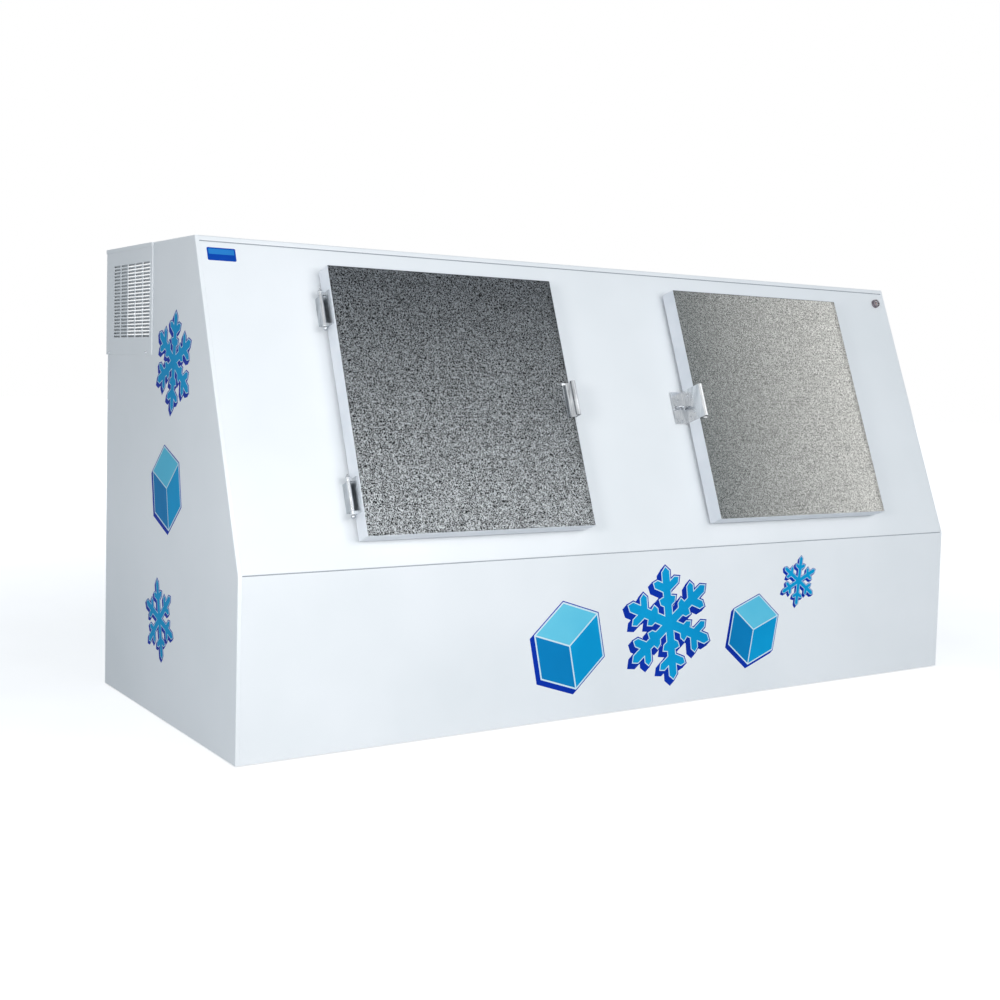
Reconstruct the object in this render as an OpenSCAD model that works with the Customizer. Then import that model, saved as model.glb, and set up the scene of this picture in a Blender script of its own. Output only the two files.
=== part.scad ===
// Slant-front ice merchandiser freezer with two doors, in millimetres.
// X runs along the front, +Y towards the back and +Z up. The origin is on the floor, under the
// middle of the cabinet. Places on the slanted front have their own frame: x along the front,
// t up the slope from the bend, and n out of the face.

/* [Cabinet] */
// Width over the side panels
cabinet_w = 2388; // [2200:2:2600]
// Depth from the front panel to the rear panel
cabinet_d = 932; // [900:2:1000]
// Height from the floor to the roof
cabinet_h = 1206; // [1180:2:1300]
// Height of the upright lower front
front_h = 432; // [380:2:450]
// Depth of the flat roof behind the slant
roof_d = 641; // [610:1:680]
// Thickness of the painted outer sheet
skin_t = 1.2; // [0.8:0.1:2]
// Thickness of the wall insulation
foam_t = 62; // [54:1:68]
// Thickness of the storage liner sheet
liner_t = 1; // [0.8:0.1:1.5]
// Height of the base rails
rail_h = 40; // [30:1:60]
// Width of each base rail
rail_w = 60; // [40:1:90]
// Wall of the base rails
rail_wall = 4; // [2:0.5:6]
// Number of base rails, an odd number so that one lies in the middle
rail_count = 3; // [3:2:5]
// Gap under the outer panels
panel_lift = 3; // [2:0.5:6]
// Width of the open seams between outer panels
seam = 1; // [0.6:0.1:1.6]
// Height of the roof's front lip, along the slope
roof_lip = 13; // [10:1:24]

/* [Doors] */
// Width of a door
door_w = 668; // [620:2:690]
// Thickness of a door's edge frame
door_t = 45; // [38:1:56]
// Distance from a side of the cabinet to the nearer door
door_margin = 308; // [290:1:330]
// Distance from the bend up to the doors
door_rise = 64; // [50:1:80]
// Distance from the doors up to the top of the slope
door_drop = 79; // [74:1:110]
// How far a door laps over its opening
door_lap = 38; // [34:1:46]
// Thickness of the embossed face sheet
face_t = 1; // [0.8:0.1:1.5]
// Wall of the door's edge frame
edge_t = 2.5; // [2:0.1:4]
// Width of the edge frame's back flange
edge_flange = 22; // [18:1:28]
// Thickness of the door's inner panel
inner_t = 2; // [1.5:0.1:3]
// How far the inner panel's plug reaches below its sheet
plug_d = 22; // [16:1:28]
// Clearance of the plug in the throat, on each side
plug_gap = 14; // [10:1:20]
// Thickness of the throat frame
throat_t = 3; // [2:0.1:4]
// Thickness of the throat's flange on the cabinet face
throat_flange_t = 1.5; // [1:0.1:2.5]
// Width of the throat's flange
throat_flange_w = 26; // [24:1:30]
// Height of the door gasket
gasket_t = 6.2; // [5:0.1:9]
// Width of the door gasket
gasket_w = 16; // [12:1:18]
// Gap between a shut gasket and its seat
seal_gap = 0.3; // [0.2:0.05:0.6]

/* [Hinges] */
// Distance from a door's edge out to the hinge axis
hinge_out = 14; // [12:0.5:16]
// Height of the hinge axis over the cabinet face
hinge_rise = 26; // [22:0.5:28]
// Outer radius of the hinge knuckles
knuckle_r = 5.5; // [5:0.1:7]
// Length of the hinge's middle knuckle
knuckle_l = 72; // [50:1:90]
// Length of each outer knuckle
outer_knuckle_l = 7; // [6:0.5:12]
// Radius of the hinge pin
pin_r = 2.8; // [2.2:0.1:3.2]
// Radial clearance of a pin or shaft in the knuckle or bore that turns on it
pin_play = 0.08; // [0.04:0.01:0.1]
// Radial clearance of the pin in the cabinet's knuckle
pin_fit = 0.03; // [0.01:0.01:0.05]
// Gap between knuckles along the pin
knuckle_gap = 0.3; // [0.2:0.05:0.6]
// Thickness of the hinge leaves
leaf_t = 3; // [2:0.5:4]
// Width of the hinge leaf on the cabinet
leaf_w = 22; // [18:1:26]
// Width of the hinge leaf on the door's side
door_leaf_w = 36; // [28:1:40]
// Distance of the hinge centres from the door's top and bottom
hinge_inset = 106; // [90:1:150]

/* [Handles] */
// Length of a handle along the slope
handle_l = 94; // [80:1:130]
// Thickness of the handle plate
handle_t = 2; // [1.5:0.1:3]
// Width of the handle's hasp flange over the cabinet
hasp_w = 43; // [40:1:56]
// Gap under the hasp flange
hasp_gap = 2.5; // [2.4:0.1:4]
// Width of the handle's flange on the door face
grip_flange = 27; // [24:1:36]
// How far the middle of the grip's bead stands off the door face
grip_rise = 21; // [19:1:26]
// Outer radius of the grip's bead
bead_r = 7; // [6:0.5:9]
// Outer radius of the grip's bend, from the door face up to the bead
bend_r = 19; // [15:1:22]
// Radius of the padlock staple's rod
staple_rod_r = 2.6; // [2:0.1:3.5]
// Inner radius of the padlock staple's loop
staple_loop_r = 6.5; // [6:0.5:8]
// Height of the straight part of the staple
staple_rise = 9; // [7:1:14]
// Thickness of the staple's plate
staple_plate_t = 2; // [1.5:0.1:2.2]
// Length of the staple's plate along the slope
staple_plate_l = 52; // [40:1:60]
// Width of the staple's plate beside its legs
staple_plate_margin = 1; // [0.8:0.1:2]

/* [Machine bay] */
// Length of the machine bay along the cabinet
bay_w = 860; // [800:2:1000]
// Depth of the machine bay
bay_d = 360; // [352:1:380]
// Height of the machine bay
bay_h = 286; // [280:1:300]
// Thickness of the insulation round the bay
bay_foam_t = 50; // [40:1:60]
// How far the hood stands out of the cabinet
hood_out = 3; // [2.5:0.5:8]
// Lap of the outer panels behind the hood's edges
hood_lap = 12; // [10:1:12]
// Height of the lid's hanging rim
lid_rim = 11; // [8:1:16]
// Rows of louvre slots
louvre_rows = 22; // [18:1:24]
// Columns of louvre slots in the side grille
side_columns = 5; // [4:1:6]
// Columns of louvre slots in the rear grille
rear_columns = 8; // [6:1:10]
// Length of a louvre slot
slot_l = 50; // [40:1:52]
// Height of a louvre slot
slot_h = 5.2; // [4:0.1:6]
// Distance between louvre rows
row_pitch = 8.9; // [8.4:0.1:9.4]
// Distance between louvre columns
column_pitch = 58; // [56:1:60]
// Depth of the louvre blades
blade_d = 7; // [5:0.5:10]
// Thickness of the louvre blades
blade_t = 1; // [0.8:0.1:1.2]
// Distance from the hood's front edge to the grille
grille_inset = 12; // [12:1:20]
// Distance from the roof down to the grille
grille_drop = 44; // [40:1:52]

/* [Refrigeration] */
// Thickness of the condenser's fin pack
condenser_t = 46; // [36:1:60]
// Height of the condenser
condenser_h = 236; // [200:1:250]
// Width of the condenser
condenser_w = 320; // [280:1:330]
// Radius of the condenser fan
fan_r = 100; // [80:1:108]
// Running gap between a fan and its ring
fan_gap = 6; // [4:0.5:12]
// Radius of a fan hub
hub_r = 22; // [18:1:28]
// Depth of a fan blade along its axis
blade_depth = 24; // [16:1:30]
// Radius of the condenser fan's motor
motor_r = 38; // [30:1:44]
// Length of the condenser fan's motor
motor_l = 58; // [50:1:70]
// Radius of the evaporator fan's motor
small_motor_r = 30; // [24:1:36]
// Length of the evaporator fan's motor
small_motor_l = 46; // [36:1:54]
// Radius of the motor shafts
shaft_r = 4; // [3:0.1:5]
// Radius of the compressor's shell
compressor_r = 82; // [70:1:95]
// Height of the compressor's shell
compressor_h = 186; // [160:1:200]
// Distance between the fan's motor and the compressor
compressor_gap = 90; // [75:1:110]
// Height of the compressor's rubber mounts
mount_h = 16; // [12:1:22]
// Radius of the compressor's bolts
bolt_r = 4; // [3:0.1:4.5]
// Width of the terminal cover on the compressor
terminal_w = 52; // [40:1:60]
// Height of the terminal cover on the compressor
terminal_h = 64; // [50:1:76]
// Width and height of the control box
control_w = 150; // [140:1:160]
// Depth of the control box
control_d = 70; // [60:1:76]
// Height of the control box over the bay's floor
control_rise = 70; // [60:1:80]
// Distance from the control box to the bay's end
control_gap = 40; // [30:1:50]
// Height of the refrigerant lines' hole over the bay's floor
line_rise = 120; // [100:1:130]
// Radius of the filter drier
drier_r = 20; // [16:1:22]
// Length of the filter drier
drier_l = 90; // [80:1:100]
// Outer radius of the thin refrigerant line
liquid_line_r = 4; // [3:0.1:5]
// Outer radius of the thick refrigerant line
suction_line_r = 6.5; // [5:0.1:8]
// Length of the evaporator
evaporator_w = 700; // [600:2:800]
// Depth of the evaporator
evaporator_d = 190; // [170:1:210]
// Height of the evaporator
evaporator_h = 205; // [190:1:230]
// Thickness of the evaporator coil's fin pack
evaporator_coil_t = 80; // [60:1:90]
// Thickness of the evaporator's housing sheet
housing_t = 1.5; // [1:0.1:2]
// Outer radius of the drain tube
drain_r = 11; // [9:0.5:14]
// Wall of the drain tube
drain_wall = 2; // [1.5:0.1:3]
// Height of the drain outlet over the floor
drain_z = 150; // [140:1:200]
// How far the drain outlet stands out of its flange
drain_out = 28; // [25:1:45]
// Thickness of the drain tube's flange on the rear panel
drain_flange_t = 4; // [3:0.5:6]
// Width of the flange round the drain tube
drain_flange_w = 7; // [5:0.5:10]

/* [Small parts] */
// Outer radius of the dial thermometer
dial_r = 14; // [12.5:0.5:20]
// Height of the dial thermometer
dial_h = 11; // [9:0.5:14]
// Distance of the thermometer's centre from the cabinet's side and from the top of the slope
dial_inset = 51; // [40:1:60]
// Height of the floor racks
rack_h = 26; // [20:1:36]
// Number of slats in a floor rack
rack_slats = 11; // [8:1:12]
// Width of a rack slat
slat_w = 42; // [30:1:46]
// Thickness of a rack slat
slat_t = 8; // [6:0.5:10]
// Width of the runners under a rack
runner_w = 24; // [16:1:32]
// Number of runners under a rack
runner_count = 4; // [3:1:6]
// Gap round the racks
rack_gap = 6; // [4:1:10]
// Radius of the supply cable's gland hole
gland_r = 6; // [5:0.1:8]
// Length of the gland
gland_l = 16; // [12:1:22]

/* [Hidden] */

$fn = 48;
// Reach of a cut past what it cuts
past = 400;
// Distance of the rails from the outer panels
rail_end = 12;
// Joint between neighbouring insulation boards in one node
joint = 0.2;

// Colours as the photograph shows them
white = [0.93, 0.94, 0.96];
steel = [0.72, 0.73, 0.74];
foam = [0.93, 0.86, 0.62];
dark = [0.16, 0.17, 0.18];
copper = [0.72, 0.42, 0.28];

// Places of the cabinet's faces
x_side = cabinet_w / 2;
x_skin = x_side - skin_t;
y_front = -cabinet_d / 2;
y_rear = cabinet_d / 2;
lean = atan((cabinet_d - roof_d) / (cabinet_h - front_h));
slope_l = sqrt(pow(cabinet_d - roof_d, 2) + pow(cabinet_h - front_h, 2));

// Insets of the liner's outer and inner faces from the cabinet's faces
wall_in = skin_t + foam_t;
room_in = wall_in + liner_t;
x_wall = x_side - wall_in;
foam_z0 = rail_h + skin_t;
foam_z1 = foam_z0 + foam_t;
floor_z = foam_z1 + liner_t;

// The machine bay, at the top of the cabinet's rear left corner
bay_x1 = -x_side + bay_w;
bay_y0 = y_rear - bay_d;
bay_z0 = cabinet_h - bay_h;
bay_floor = bay_z0 + skin_t;
bay_mid_y = bay_y0 + bay_d / 2;
hood_x = -x_side - hood_out;
hood_y = y_rear + hood_out;

// A door and its opening, on the slanted front
door_x0 = -x_side + door_margin;
door_x1 = door_x0 + door_w;
door_t0 = door_rise;
door_t1 = slope_l - door_drop;
open_x0 = door_x0 + door_lap;
open_x1 = door_x1 - door_lap;
open_t0 = door_t0 + door_lap;
open_t1 = door_t1 - door_lap;
sheet_n = throat_flange_t + seal_gap + gasket_t;
back_n = sheet_n + inner_t;
front_n = back_n + door_t;
face_n = front_n + face_t;

// The hinges of the left door
hinge_x = door_x0 - hinge_out;
hinge_ts = [door_t0 + hinge_inset, door_t1 - hinge_inset];
outer_knuckle_at = knuckle_l / 2 + knuckle_gap;
hinge_half = outer_knuckle_at + outer_knuckle_l;

// The handle of the left door
bead_n = face_n + grip_rise;
bead_x = door_x1 + handle_t - bead_r;
handle_mid = (door_t0 + door_t1) / 2;
staple_x = door_x1 + handle_t + (hasp_w - handle_t) / 2;
leg_x = staple_loop_r + staple_rod_r;
hasp_slot_x = leg_x + staple_rod_r + 2;
hasp_slot_t = staple_rod_r + 3;

// The grilles
blade_lean = 40;
grille_h = (louvre_rows - 1) * row_pitch + slot_h + 6;
side_grille_w = (side_columns - 1) * column_pitch + slot_l + 8;
rear_grille_w = (rear_columns - 1) * column_pitch + slot_l + 8;
grille_z1 = cabinet_h - grille_drop;
grille_z0 = grille_z1 - grille_h;
side_grille_y = bay_y0 + grille_inset;
rear_grille_x = bay_x1 - hood_lap - grille_inset - rear_grille_w;

// The condensing unit, in line from the side grille inwards
coil_x0 = -x_side + 26;
coil_x1 = coil_x0 + condenser_t;
coil_y0 = bay_mid_y - condenser_w / 2;
coil_y1 = bay_mid_y + condenser_w / 2;
coil_x = (coil_x0 + coil_x1) / 2;
fin_inset = 6;
plate_t = 1.5;
shroud_x = coil_x1 + 2;
shroud_l = 40;
fan_z = bay_floor + condenser_h / 2;
fan_x = shroud_x + shroud_l - blade_depth - 4;
motor_x = fan_x + blade_depth + 10;
compressor_x = motor_x + motor_l + compressor_gap + compressor_r;
compressor_z = bay_floor + mount_h;
control_x1 = bay_x1 - control_gap;
control_x0 = control_x1 - control_w;
control_y1 = bay_y0 + skin_t + control_d;
control_z0 = bay_floor + control_rise;
control_z1 = control_z0 + control_w;
knob_x = control_x0 + control_w / 2;
knob_z = control_z0 + control_w / 3;
foot_r = compressor_r + bolt_r + 10;
foot_plate_t = 3;
drier_x = (compressor_x + control_x0) / 2 + 40;
drier_y = bay_y0 + 60;
drier_z = bay_floor + drier_r + 2;
line_hole_z = bay_floor + line_rise;
line_hole_r = suction_line_r + liquid_line_r + 3.5;
line_gap = 0.3;

// The evaporator, hung under the ceiling beside the bay
ev_x0 = bay_x1 + bay_foam_t + liner_t + 14;
ev_x1 = ev_x0 + evaporator_w;
ev_y1 = y_rear - room_in;
ev_y0 = ev_y1 - evaporator_d;
ev_z1 = cabinet_h - room_in;
ev_z0 = ev_z1 - evaporator_h;
ev_mid_x = (ev_x0 + ev_x1) / 2;
ev_mid_z = (ev_z0 + ev_z1) / 2;
ev_fan_r = evaporator_h / 2 - 20.5;
ev_coil_y0 = ev_y1 - evaporator_coil_t;
ev_coil_x0 = ev_x0 + 14;
ev_fan_y = ev_y0 + 26;
ev_motor_y = ev_fan_y + 22;
line_hole_y = ev_coil_y0 + evaporator_coil_t / 2;
drain_bend = 26;
drain_x = ev_x1 - 45;
drain_y = ev_y1 - drain_bend - 4;

// The dial thermometer
dial_x = x_side - dial_inset;
dial_t1 = slope_l - dial_inset;
dial_floor = 4;
dial_wall = 4;
needle_l = dial_r - 7;
stud_r = 1;

// The supply cable's gland, in the rear of the hood
gland_x = bay_x1 - hood_lap - 18;
gland_z = bay_z0 + hood_lap + 14;
gland_wall = 2.8;
gland_fit = 0.2;

// ---------- helpers ----------

// A box from its lowest to its highest corner
module block(lo, hi) {
    translate(lo) cube(hi - lo);
}

// A shape drawn as [y, z] points and drawn out along X
module across(x0, x1, points) {
    translate([x0, 0, 0]) rotate([90, 0, 90]) linear_extrude(x1 - x0) polygon(points);
}

// Puts its children on the slanted front
module on_slant() {
    translate([0, y_front, front_h]) rotate([90 - lean, 0, 0]) children();
}

// Its children and their mirror image across the middle of the cabinet
module pair() {
    children();
    mirror([1, 0, 0]) children();
}

// A cylinder along X or along Y, from one place to another
module rod_x(x0, x1, y, z, r) {
    translate([x0, y, z]) rotate([0, 90, 0]) cylinder(h = x1 - x0, r = r);
}

module rod_y(x, y0, y1, z, r) {
    translate([x, y0, z]) rotate([-90, 0, 0]) cylinder(h = y1 - y0, r = r);
}

// The cabinet's profile, moved in by a distance and cut off at a floor
function profile(inset, bottom) = [
    [y_front + inset, bottom],
    [y_rear - inset, bottom],
    [y_rear - inset, cabinet_h - inset],
    [y_front + (cabinet_h - inset - front_h) * tan(lean) + inset / cos(lean), cabinet_h - inset],
    [y_front + inset, front_h - inset * tan(lean / 2)]
];

// A place on the slanted front, as [y, z]
function slant_point(t, n) = [
    y_front + t * sin(lean) - n * cos(lean),
    front_h + t * cos(lean) + n * sin(lean)
];

// Where a line under the slanted face meets the lines of the lower front and of the roof
function bend_t(inset) = inset * tan(lean / 2);
function top_t(inset) = slope_l - inset * tan(45 - lean / 2);

// The space of the machine bay, grown by a distance towards the storage room
module bay_space(grow) {
    block([-x_side - past, bay_y0 - grow, bay_z0 - grow],
          [bay_x1 + grow, y_rear + past, cabinet_h + past]);
}

// What is cut away for the two door openings, just through the front wall
module door_openings() {
    pair() on_slant() block([open_x0, open_t0, -room_in - 1], [open_x1, open_t1, past]);
}

// A flat ring on the slanted front, between two rectangles
module slant_ring(grow_out, grow_in, n0, n1) {
    difference() {
        block([open_x0 - grow_out, open_t0 - grow_out, n0],
              [open_x1 + grow_out, open_t1 + grow_out, n1]);
        block([open_x0 - grow_in, open_t0 - grow_in, n0 - 1],
              [open_x1 + grow_in, open_t1 + grow_in, n1 + 1]);
    }
}

// A round tube swept along a route, with its corners eased
function unit(v) = v / norm(v);
function eased(p, bend, steps = 5) = [
    p[0],
    for (i = [1 : len(p) - 2])
        let (a = p[i] + unit(p[i - 1] - p[i]) * bend, b = p[i] + unit(p[i + 1] - p[i]) * bend)
            for (k = [0 : steps])
                let (s = k / steps) a * (1 - s) * (1 - s) + p[i] * 2 * s * (1 - s) + b * s * s,
    p[len(p) - 1]
];
function heading(p, i) = unit(p[min(i + 1, len(p) - 1)] - p[max(i - 1, 0)]);
function level(v, d) = unit(v - d * (v * d));
function sides(p, i) = i == 0
    ? level(abs(heading(p, 0)[2]) > 0.8 ? [1, 0, 0] : [0, 0, 1], heading(p, 0))
    : level(sides(p, i - 1), heading(p, i));

module swept(route, r, bend, count = 8) {
    p = eased(route, bend);
    points = [
        for (i = [0 : len(p) - 1])
            let (u = sides(p, i), v = cross(heading(p, i), u))
                for (k = [0 : count - 1])
                    p[i] + r * (cos(360 * k / count) * u + sin(360 * k / count) * v)
    ];
    last = (len(p) - 1) * count;
    polyhedron(points, concat(
        [[for (k = [0 : count - 1]) k]],
        [for (i = [0 : len(p) - 2], k = [0 : count - 1])
            [i * count + k, (i + 1) * count + k,
             (i + 1) * count + (k + 1) % count, i * count + (k + 1) % count]],
        [[for (k = [count - 1 : -1 : 0]) last + k]]
    ));
}

// ---------- base and outer panels ----------

module base_rails() {
    pitch = (cabinet_d - rail_w - 2 * rail_end) / (rail_count - 1);
    color(dark) for (i = [0 : rail_count - 1]) {
        y = (i - (rail_count - 1) / 2) * pitch;
        difference() {
            block([-x_side + rail_end, y - rail_w / 2, 0], [x_side - rail_end, y + rail_w / 2, rail_h]);
            block([-x_side - past, y - rail_w / 2 + rail_wall, rail_wall],
                  [x_side + past, y + rail_w / 2 - rail_wall, rail_h - rail_wall]);
        }
    }
}

module bottom_panel() {
    color(steel) block([-x_skin, y_front + skin_t, rail_h], [x_skin, y_rear - skin_t, foam_z0]);
}

module left_side_panel() {
    color(white) difference() {
        across(-x_side, -x_skin, profile(0, panel_lift));
        block([-x_side - past, bay_y0 + hood_lap, bay_z0 + hood_lap],
              [-x_side + past, y_rear + past, cabinet_h + past]);
        // Room for the hood's lid
        block([-x_side - past, bay_y0, cabinet_h - skin_t],
              [-x_side + past, y_rear + past, cabinet_h + past]);
    }
}

module right_side_panel() {
    color(white) across(x_skin, x_side, profile(0, panel_lift));
}

module rear_panel() {
    color(white) difference() {
        block([-x_skin, y_rear - skin_t, panel_lift], [x_skin, y_rear, cabinet_h - skin_t]);
        block([-x_side - past, y_rear - past, bay_z0 + hood_lap],
              [bay_x1 - hood_lap, y_rear + past, cabinet_h + past]);
        rod_y(drain_x, y_rear - past, y_rear + past, drain_z, drain_r + seal_gap);
    }
}

module roof_panel() {
    color(white) difference() {
        across(-x_skin, x_skin, [
            [y_rear, cabinet_h], profile(0, 0)[3], slant_point(slope_l - roof_lip, 0),
            slant_point(slope_l - roof_lip, -skin_t), profile(skin_t, 0)[3], [y_rear, cabinet_h - skin_t]
        ]);
        bay_space(0);
    }
}

module lower_front_panel() {
    color(white) block([-x_skin, y_front, panel_lift],
                       [x_skin, y_front + skin_t, front_h - seam / 2]);
}

module slant_front_panel() {
    color(white) difference() {
        on_slant() block([-x_skin, seam / 2, -skin_t],
                         [x_skin, slope_l - roof_lip - seam, 0]);
        door_openings();
    }
}

// ---------- insulation and liner ----------

module floor_insulation() {
    color(foam) block([-x_skin, y_front + skin_t, foam_z0], [x_skin, y_rear - skin_t, foam_z1]);
}

module left_wall_insulation() {
    color(foam) difference() {
        across(-x_skin, -x_wall, profile(skin_t, foam_z1));
        bay_space(0);
    }
}

module right_wall_insulation() {
    color(foam) across(x_wall, x_skin, profile(skin_t, foam_z1));
}

module rear_wall_insulation() {
    color(foam) difference() {
        block([-x_wall, y_rear - wall_in, foam_z1], [x_wall, y_rear - skin_t, cabinet_h - wall_in]);
        bay_space(0);
        rod_y(drain_x, y_rear - past, y_rear + past, drain_z, drain_r + seal_gap);
    }
}

module roof_insulation() {
    outer = profile(skin_t, foam_z1);
    inner = profile(wall_in, foam_z1);
    color(foam) difference() {
        across(-x_wall, x_wall, [
            outer[3], outer[2], [y_rear - skin_t, cabinet_h - wall_in], inner[3]
        ]);
        bay_space(0);
    }
}

module front_insulation() {
    outer = profile(skin_t, foam_z1);
    inner = profile(wall_in, foam_z1);
    color(foam) {
        across(-x_wall, x_wall, [outer[0], inner[0], inner[4] - [0, joint], outer[4] - [0, joint]]);
        on_slant() {
            across(-x_wall, x_wall, [
                [bend_t(skin_t), -skin_t], [open_t0, -skin_t],
                [open_t0, -wall_in], [bend_t(wall_in), -wall_in]
            ]);
            across(-x_wall, x_wall, [
                [open_t1, -skin_t], [top_t(skin_t), -skin_t],
                [top_t(wall_in), -wall_in], [open_t1, -wall_in]
            ]);
            pair() block([-x_wall, open_t0 + joint, -wall_in], [open_x0, open_t1 - joint, -skin_t]);
            block([open_x1, open_t0 + joint, -wall_in], [-open_x1, open_t1 - joint, -skin_t]);
        }
    }
}

module bay_insulation() {
    room_y1 = y_rear - wall_in;
    room_z1 = cabinet_h - wall_in;
    color(foam) {
        block([-x_wall, bay_y0 - bay_foam_t, bay_z0 - bay_foam_t], [bay_x1 + bay_foam_t, room_y1, bay_z0]);
        block([-x_wall, bay_y0 - bay_foam_t, bay_z0 + joint], [bay_x1 + bay_foam_t, bay_y0, room_z1]);
        difference() {
            block([bay_x1, bay_y0 + joint, bay_z0 + joint], [bay_x1 + bay_foam_t, room_y1, room_z1]);
            rod_x(bay_x1 - 1, bay_x1 + bay_foam_t + 1, line_hole_y, line_hole_z, line_hole_r);
        }
    }
}

module storage_liner() {
    color(steel) difference() {
        across(-x_wall, x_wall, profile(wall_in, foam_z1));
        difference() {
            across(-x_wall + liner_t, x_wall - liner_t, profile(room_in, floor_z));
            bay_space(bay_foam_t + liner_t);
        }
        bay_space(bay_foam_t);
        door_openings();
        rod_x(bay_x1, bay_x1 + past, line_hole_y, line_hole_z, line_hole_r);
        rod_y(drain_x, y_rear - room_in - 1, y_rear + past, drain_z, drain_r + seal_gap);
    }
}

module door_throats() {
    color(white) pair() on_slant() {
        slant_ring(0, -throat_t, -room_in, throat_flange_t);
        slant_ring(throat_flange_w, -throat_t, 0, throat_flange_t);
    }
}

// ---------- hood over the machine bay ----------

// A plate of louvre slots with leaning blades behind, lying in the XZ plane and facing -Y
module louvre_plate(columns, w) {
    first_x = (w - (columns - 1) * column_pitch - slot_l) / 2;
    first_z = (grille_h - (louvre_rows - 1) * row_pitch - slot_h) / 2;
    difference() {
        cube([w, skin_t, grille_h]);
        for (i = [0 : columns - 1], k = [0 : louvre_rows - 1])
            translate([first_x + i * column_pitch, -1, first_z + k * row_pitch])
                cube([slot_l, skin_t + 2, slot_h]);
    }
    for (k = [0 : louvre_rows - 1])
        translate([first_x / 2, skin_t - 0.4, first_z + slot_h + k * row_pitch])
            rotate([-blade_lean, 0, 0]) cube([w - first_x, blade_d, blade_t]);
}

module condenser_hood() {
    top = cabinet_h - skin_t;
    color(white) difference() {
        union() {
            block([hood_x, bay_y0, bay_z0], [hood_x + skin_t, hood_y, top]);
            block([hood_x, bay_y0, bay_z0], [-x_side, bay_y0 + skin_t, top]);
            block([hood_x, bay_y0, bay_z0], [-x_side, hood_y, bay_z0 + skin_t]);
            block([hood_x, hood_y - skin_t, bay_z0], [bay_x1, hood_y, top]);
            block([hood_x, y_rear, bay_z0], [bay_x1, hood_y, bay_z0 + skin_t]);
            block([bay_x1 - skin_t, y_rear, bay_z0], [bay_x1, hood_y, top]);
        }
        block([hood_x - 1, side_grille_y, grille_z0],
              [hood_x + skin_t + 1, side_grille_y + side_grille_w, grille_z1]);
        block([rear_grille_x, hood_y - skin_t - 1, grille_z0],
              [rear_grille_x + rear_grille_w, hood_y + 1, grille_z1]);
        rod_y(gland_x, hood_y - skin_t - 1, hood_y + 1, gland_z, gland_r + gland_wall + gland_fit);
    }
}

module hood_lid() {
    rim_gap = 0.2;
    x0 = hood_x - rim_gap - skin_t;
    y1 = hood_y + rim_gap + skin_t;
    color(white) {
        block([x0, bay_y0 + seam, cabinet_h - skin_t], [bay_x1 - seam, y1, cabinet_h]);
        block([x0, bay_y0 + seam, cabinet_h - lid_rim], [x0 + skin_t, y1, cabinet_h]);
        block([x0, y1 - skin_t, cabinet_h - lid_rim], [bay_x1 - seam, y1, cabinet_h]);
    }
}

module side_grille() {
    color(white) translate([hood_x, side_grille_y + side_grille_w, grille_z0])
        rotate([0, 0, -90]) louvre_plate(side_columns, side_grille_w);
}

module rear_grille() {
    color(white) translate([rear_grille_x + rear_grille_w, hood_y, grille_z0])
        rotate([0, 0, 180]) louvre_plate(rear_columns, rear_grille_w);
}

// Pan-head screws that hold the hood's edges, and the lid's rim
module hood_screws() {
    head_r = 4;
    head_h = 2;
    low_z = bay_z0 + hood_lap / 2 + 0.5;
    color(steel) {
        for (y = [bay_y0 + 40, y_rear - 20])
            rod_x(hood_x - head_h, hood_x, y, low_z, head_r);
        for (x = [-x_side + 60, (bay_x1 - x_side) / 2, bay_x1 - 60])
            rod_y(x, hood_y, hood_y + head_h, low_z, head_r);
        for (z = [bay_z0 + bay_h * 0.35, bay_z0 + bay_h * 0.7])
            rod_y(bay_x1 - hood_lap / 2 - 0.5, hood_y, hood_y + head_h, z, head_r);
    }
}

// ---------- condensing unit ----------

module bay_pan() {
    top = cabinet_h - skin_t;
    color(steel) difference() {
        union() {
            block([-x_skin, bay_y0, bay_z0], [bay_x1, y_rear - skin_t, bay_floor]);
            block([-x_skin, bay_y0, bay_z0], [bay_x1, bay_y0 + skin_t, top]);
            block([bay_x1 - skin_t, bay_y0, bay_z0], [bay_x1, y_rear - skin_t, top]);
        }
        rod_x(bay_x1 - past, bay_x1 + past, line_hole_y, line_hole_z, line_hole_r);
    }
}

module compressor_mounts() {
    color(dark) for (a = [45 : 90 : 315])
        translate([compressor_x + foot_r * cos(a), bay_mid_y + foot_r * sin(a), bay_floor]) {
            cylinder(h = mount_h, r = bolt_r + 7);
            cylinder(h = mount_h + foot_plate_t + 5, r = bolt_r);
        }
}

module compressor() {
    dome = compressor_r * 0.55;
    plate = foot_r * cos(45) + 12;
    terminal_z = compressor_h * 0.2;
    color(dark) translate([compressor_x, bay_mid_y, compressor_z]) {
        difference() {
            block([-plate, -plate, 0], [plate, plate, foot_plate_t]);
            for (a = [45 : 90 : 315])
                translate([foot_r * cos(a), foot_r * sin(a), -1])
                    cylinder(h = foot_plate_t + 2, r = bolt_r + 0.3);
        }
        rotate_extrude() union() {
            translate([0, foot_plate_t - 1]) square([compressor_r, compressor_h - dome - foot_plate_t + 1]);
            translate([0, compressor_h - dome]) intersection() {
                scale([1, dome / compressor_r]) circle(r = compressor_r);
                square([compressor_r, compressor_r]);
            }
            // Seam where the shell's two halves are welded
            translate([0, compressor_h * 0.43]) square([compressor_r + 4, 6]);
        }
        // Terminal cover on the side of the shell
        block([compressor_r - 10, -terminal_w / 2, terminal_z],
              [compressor_r + 24, terminal_w / 2, terminal_z + terminal_h]);
    }
}

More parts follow.
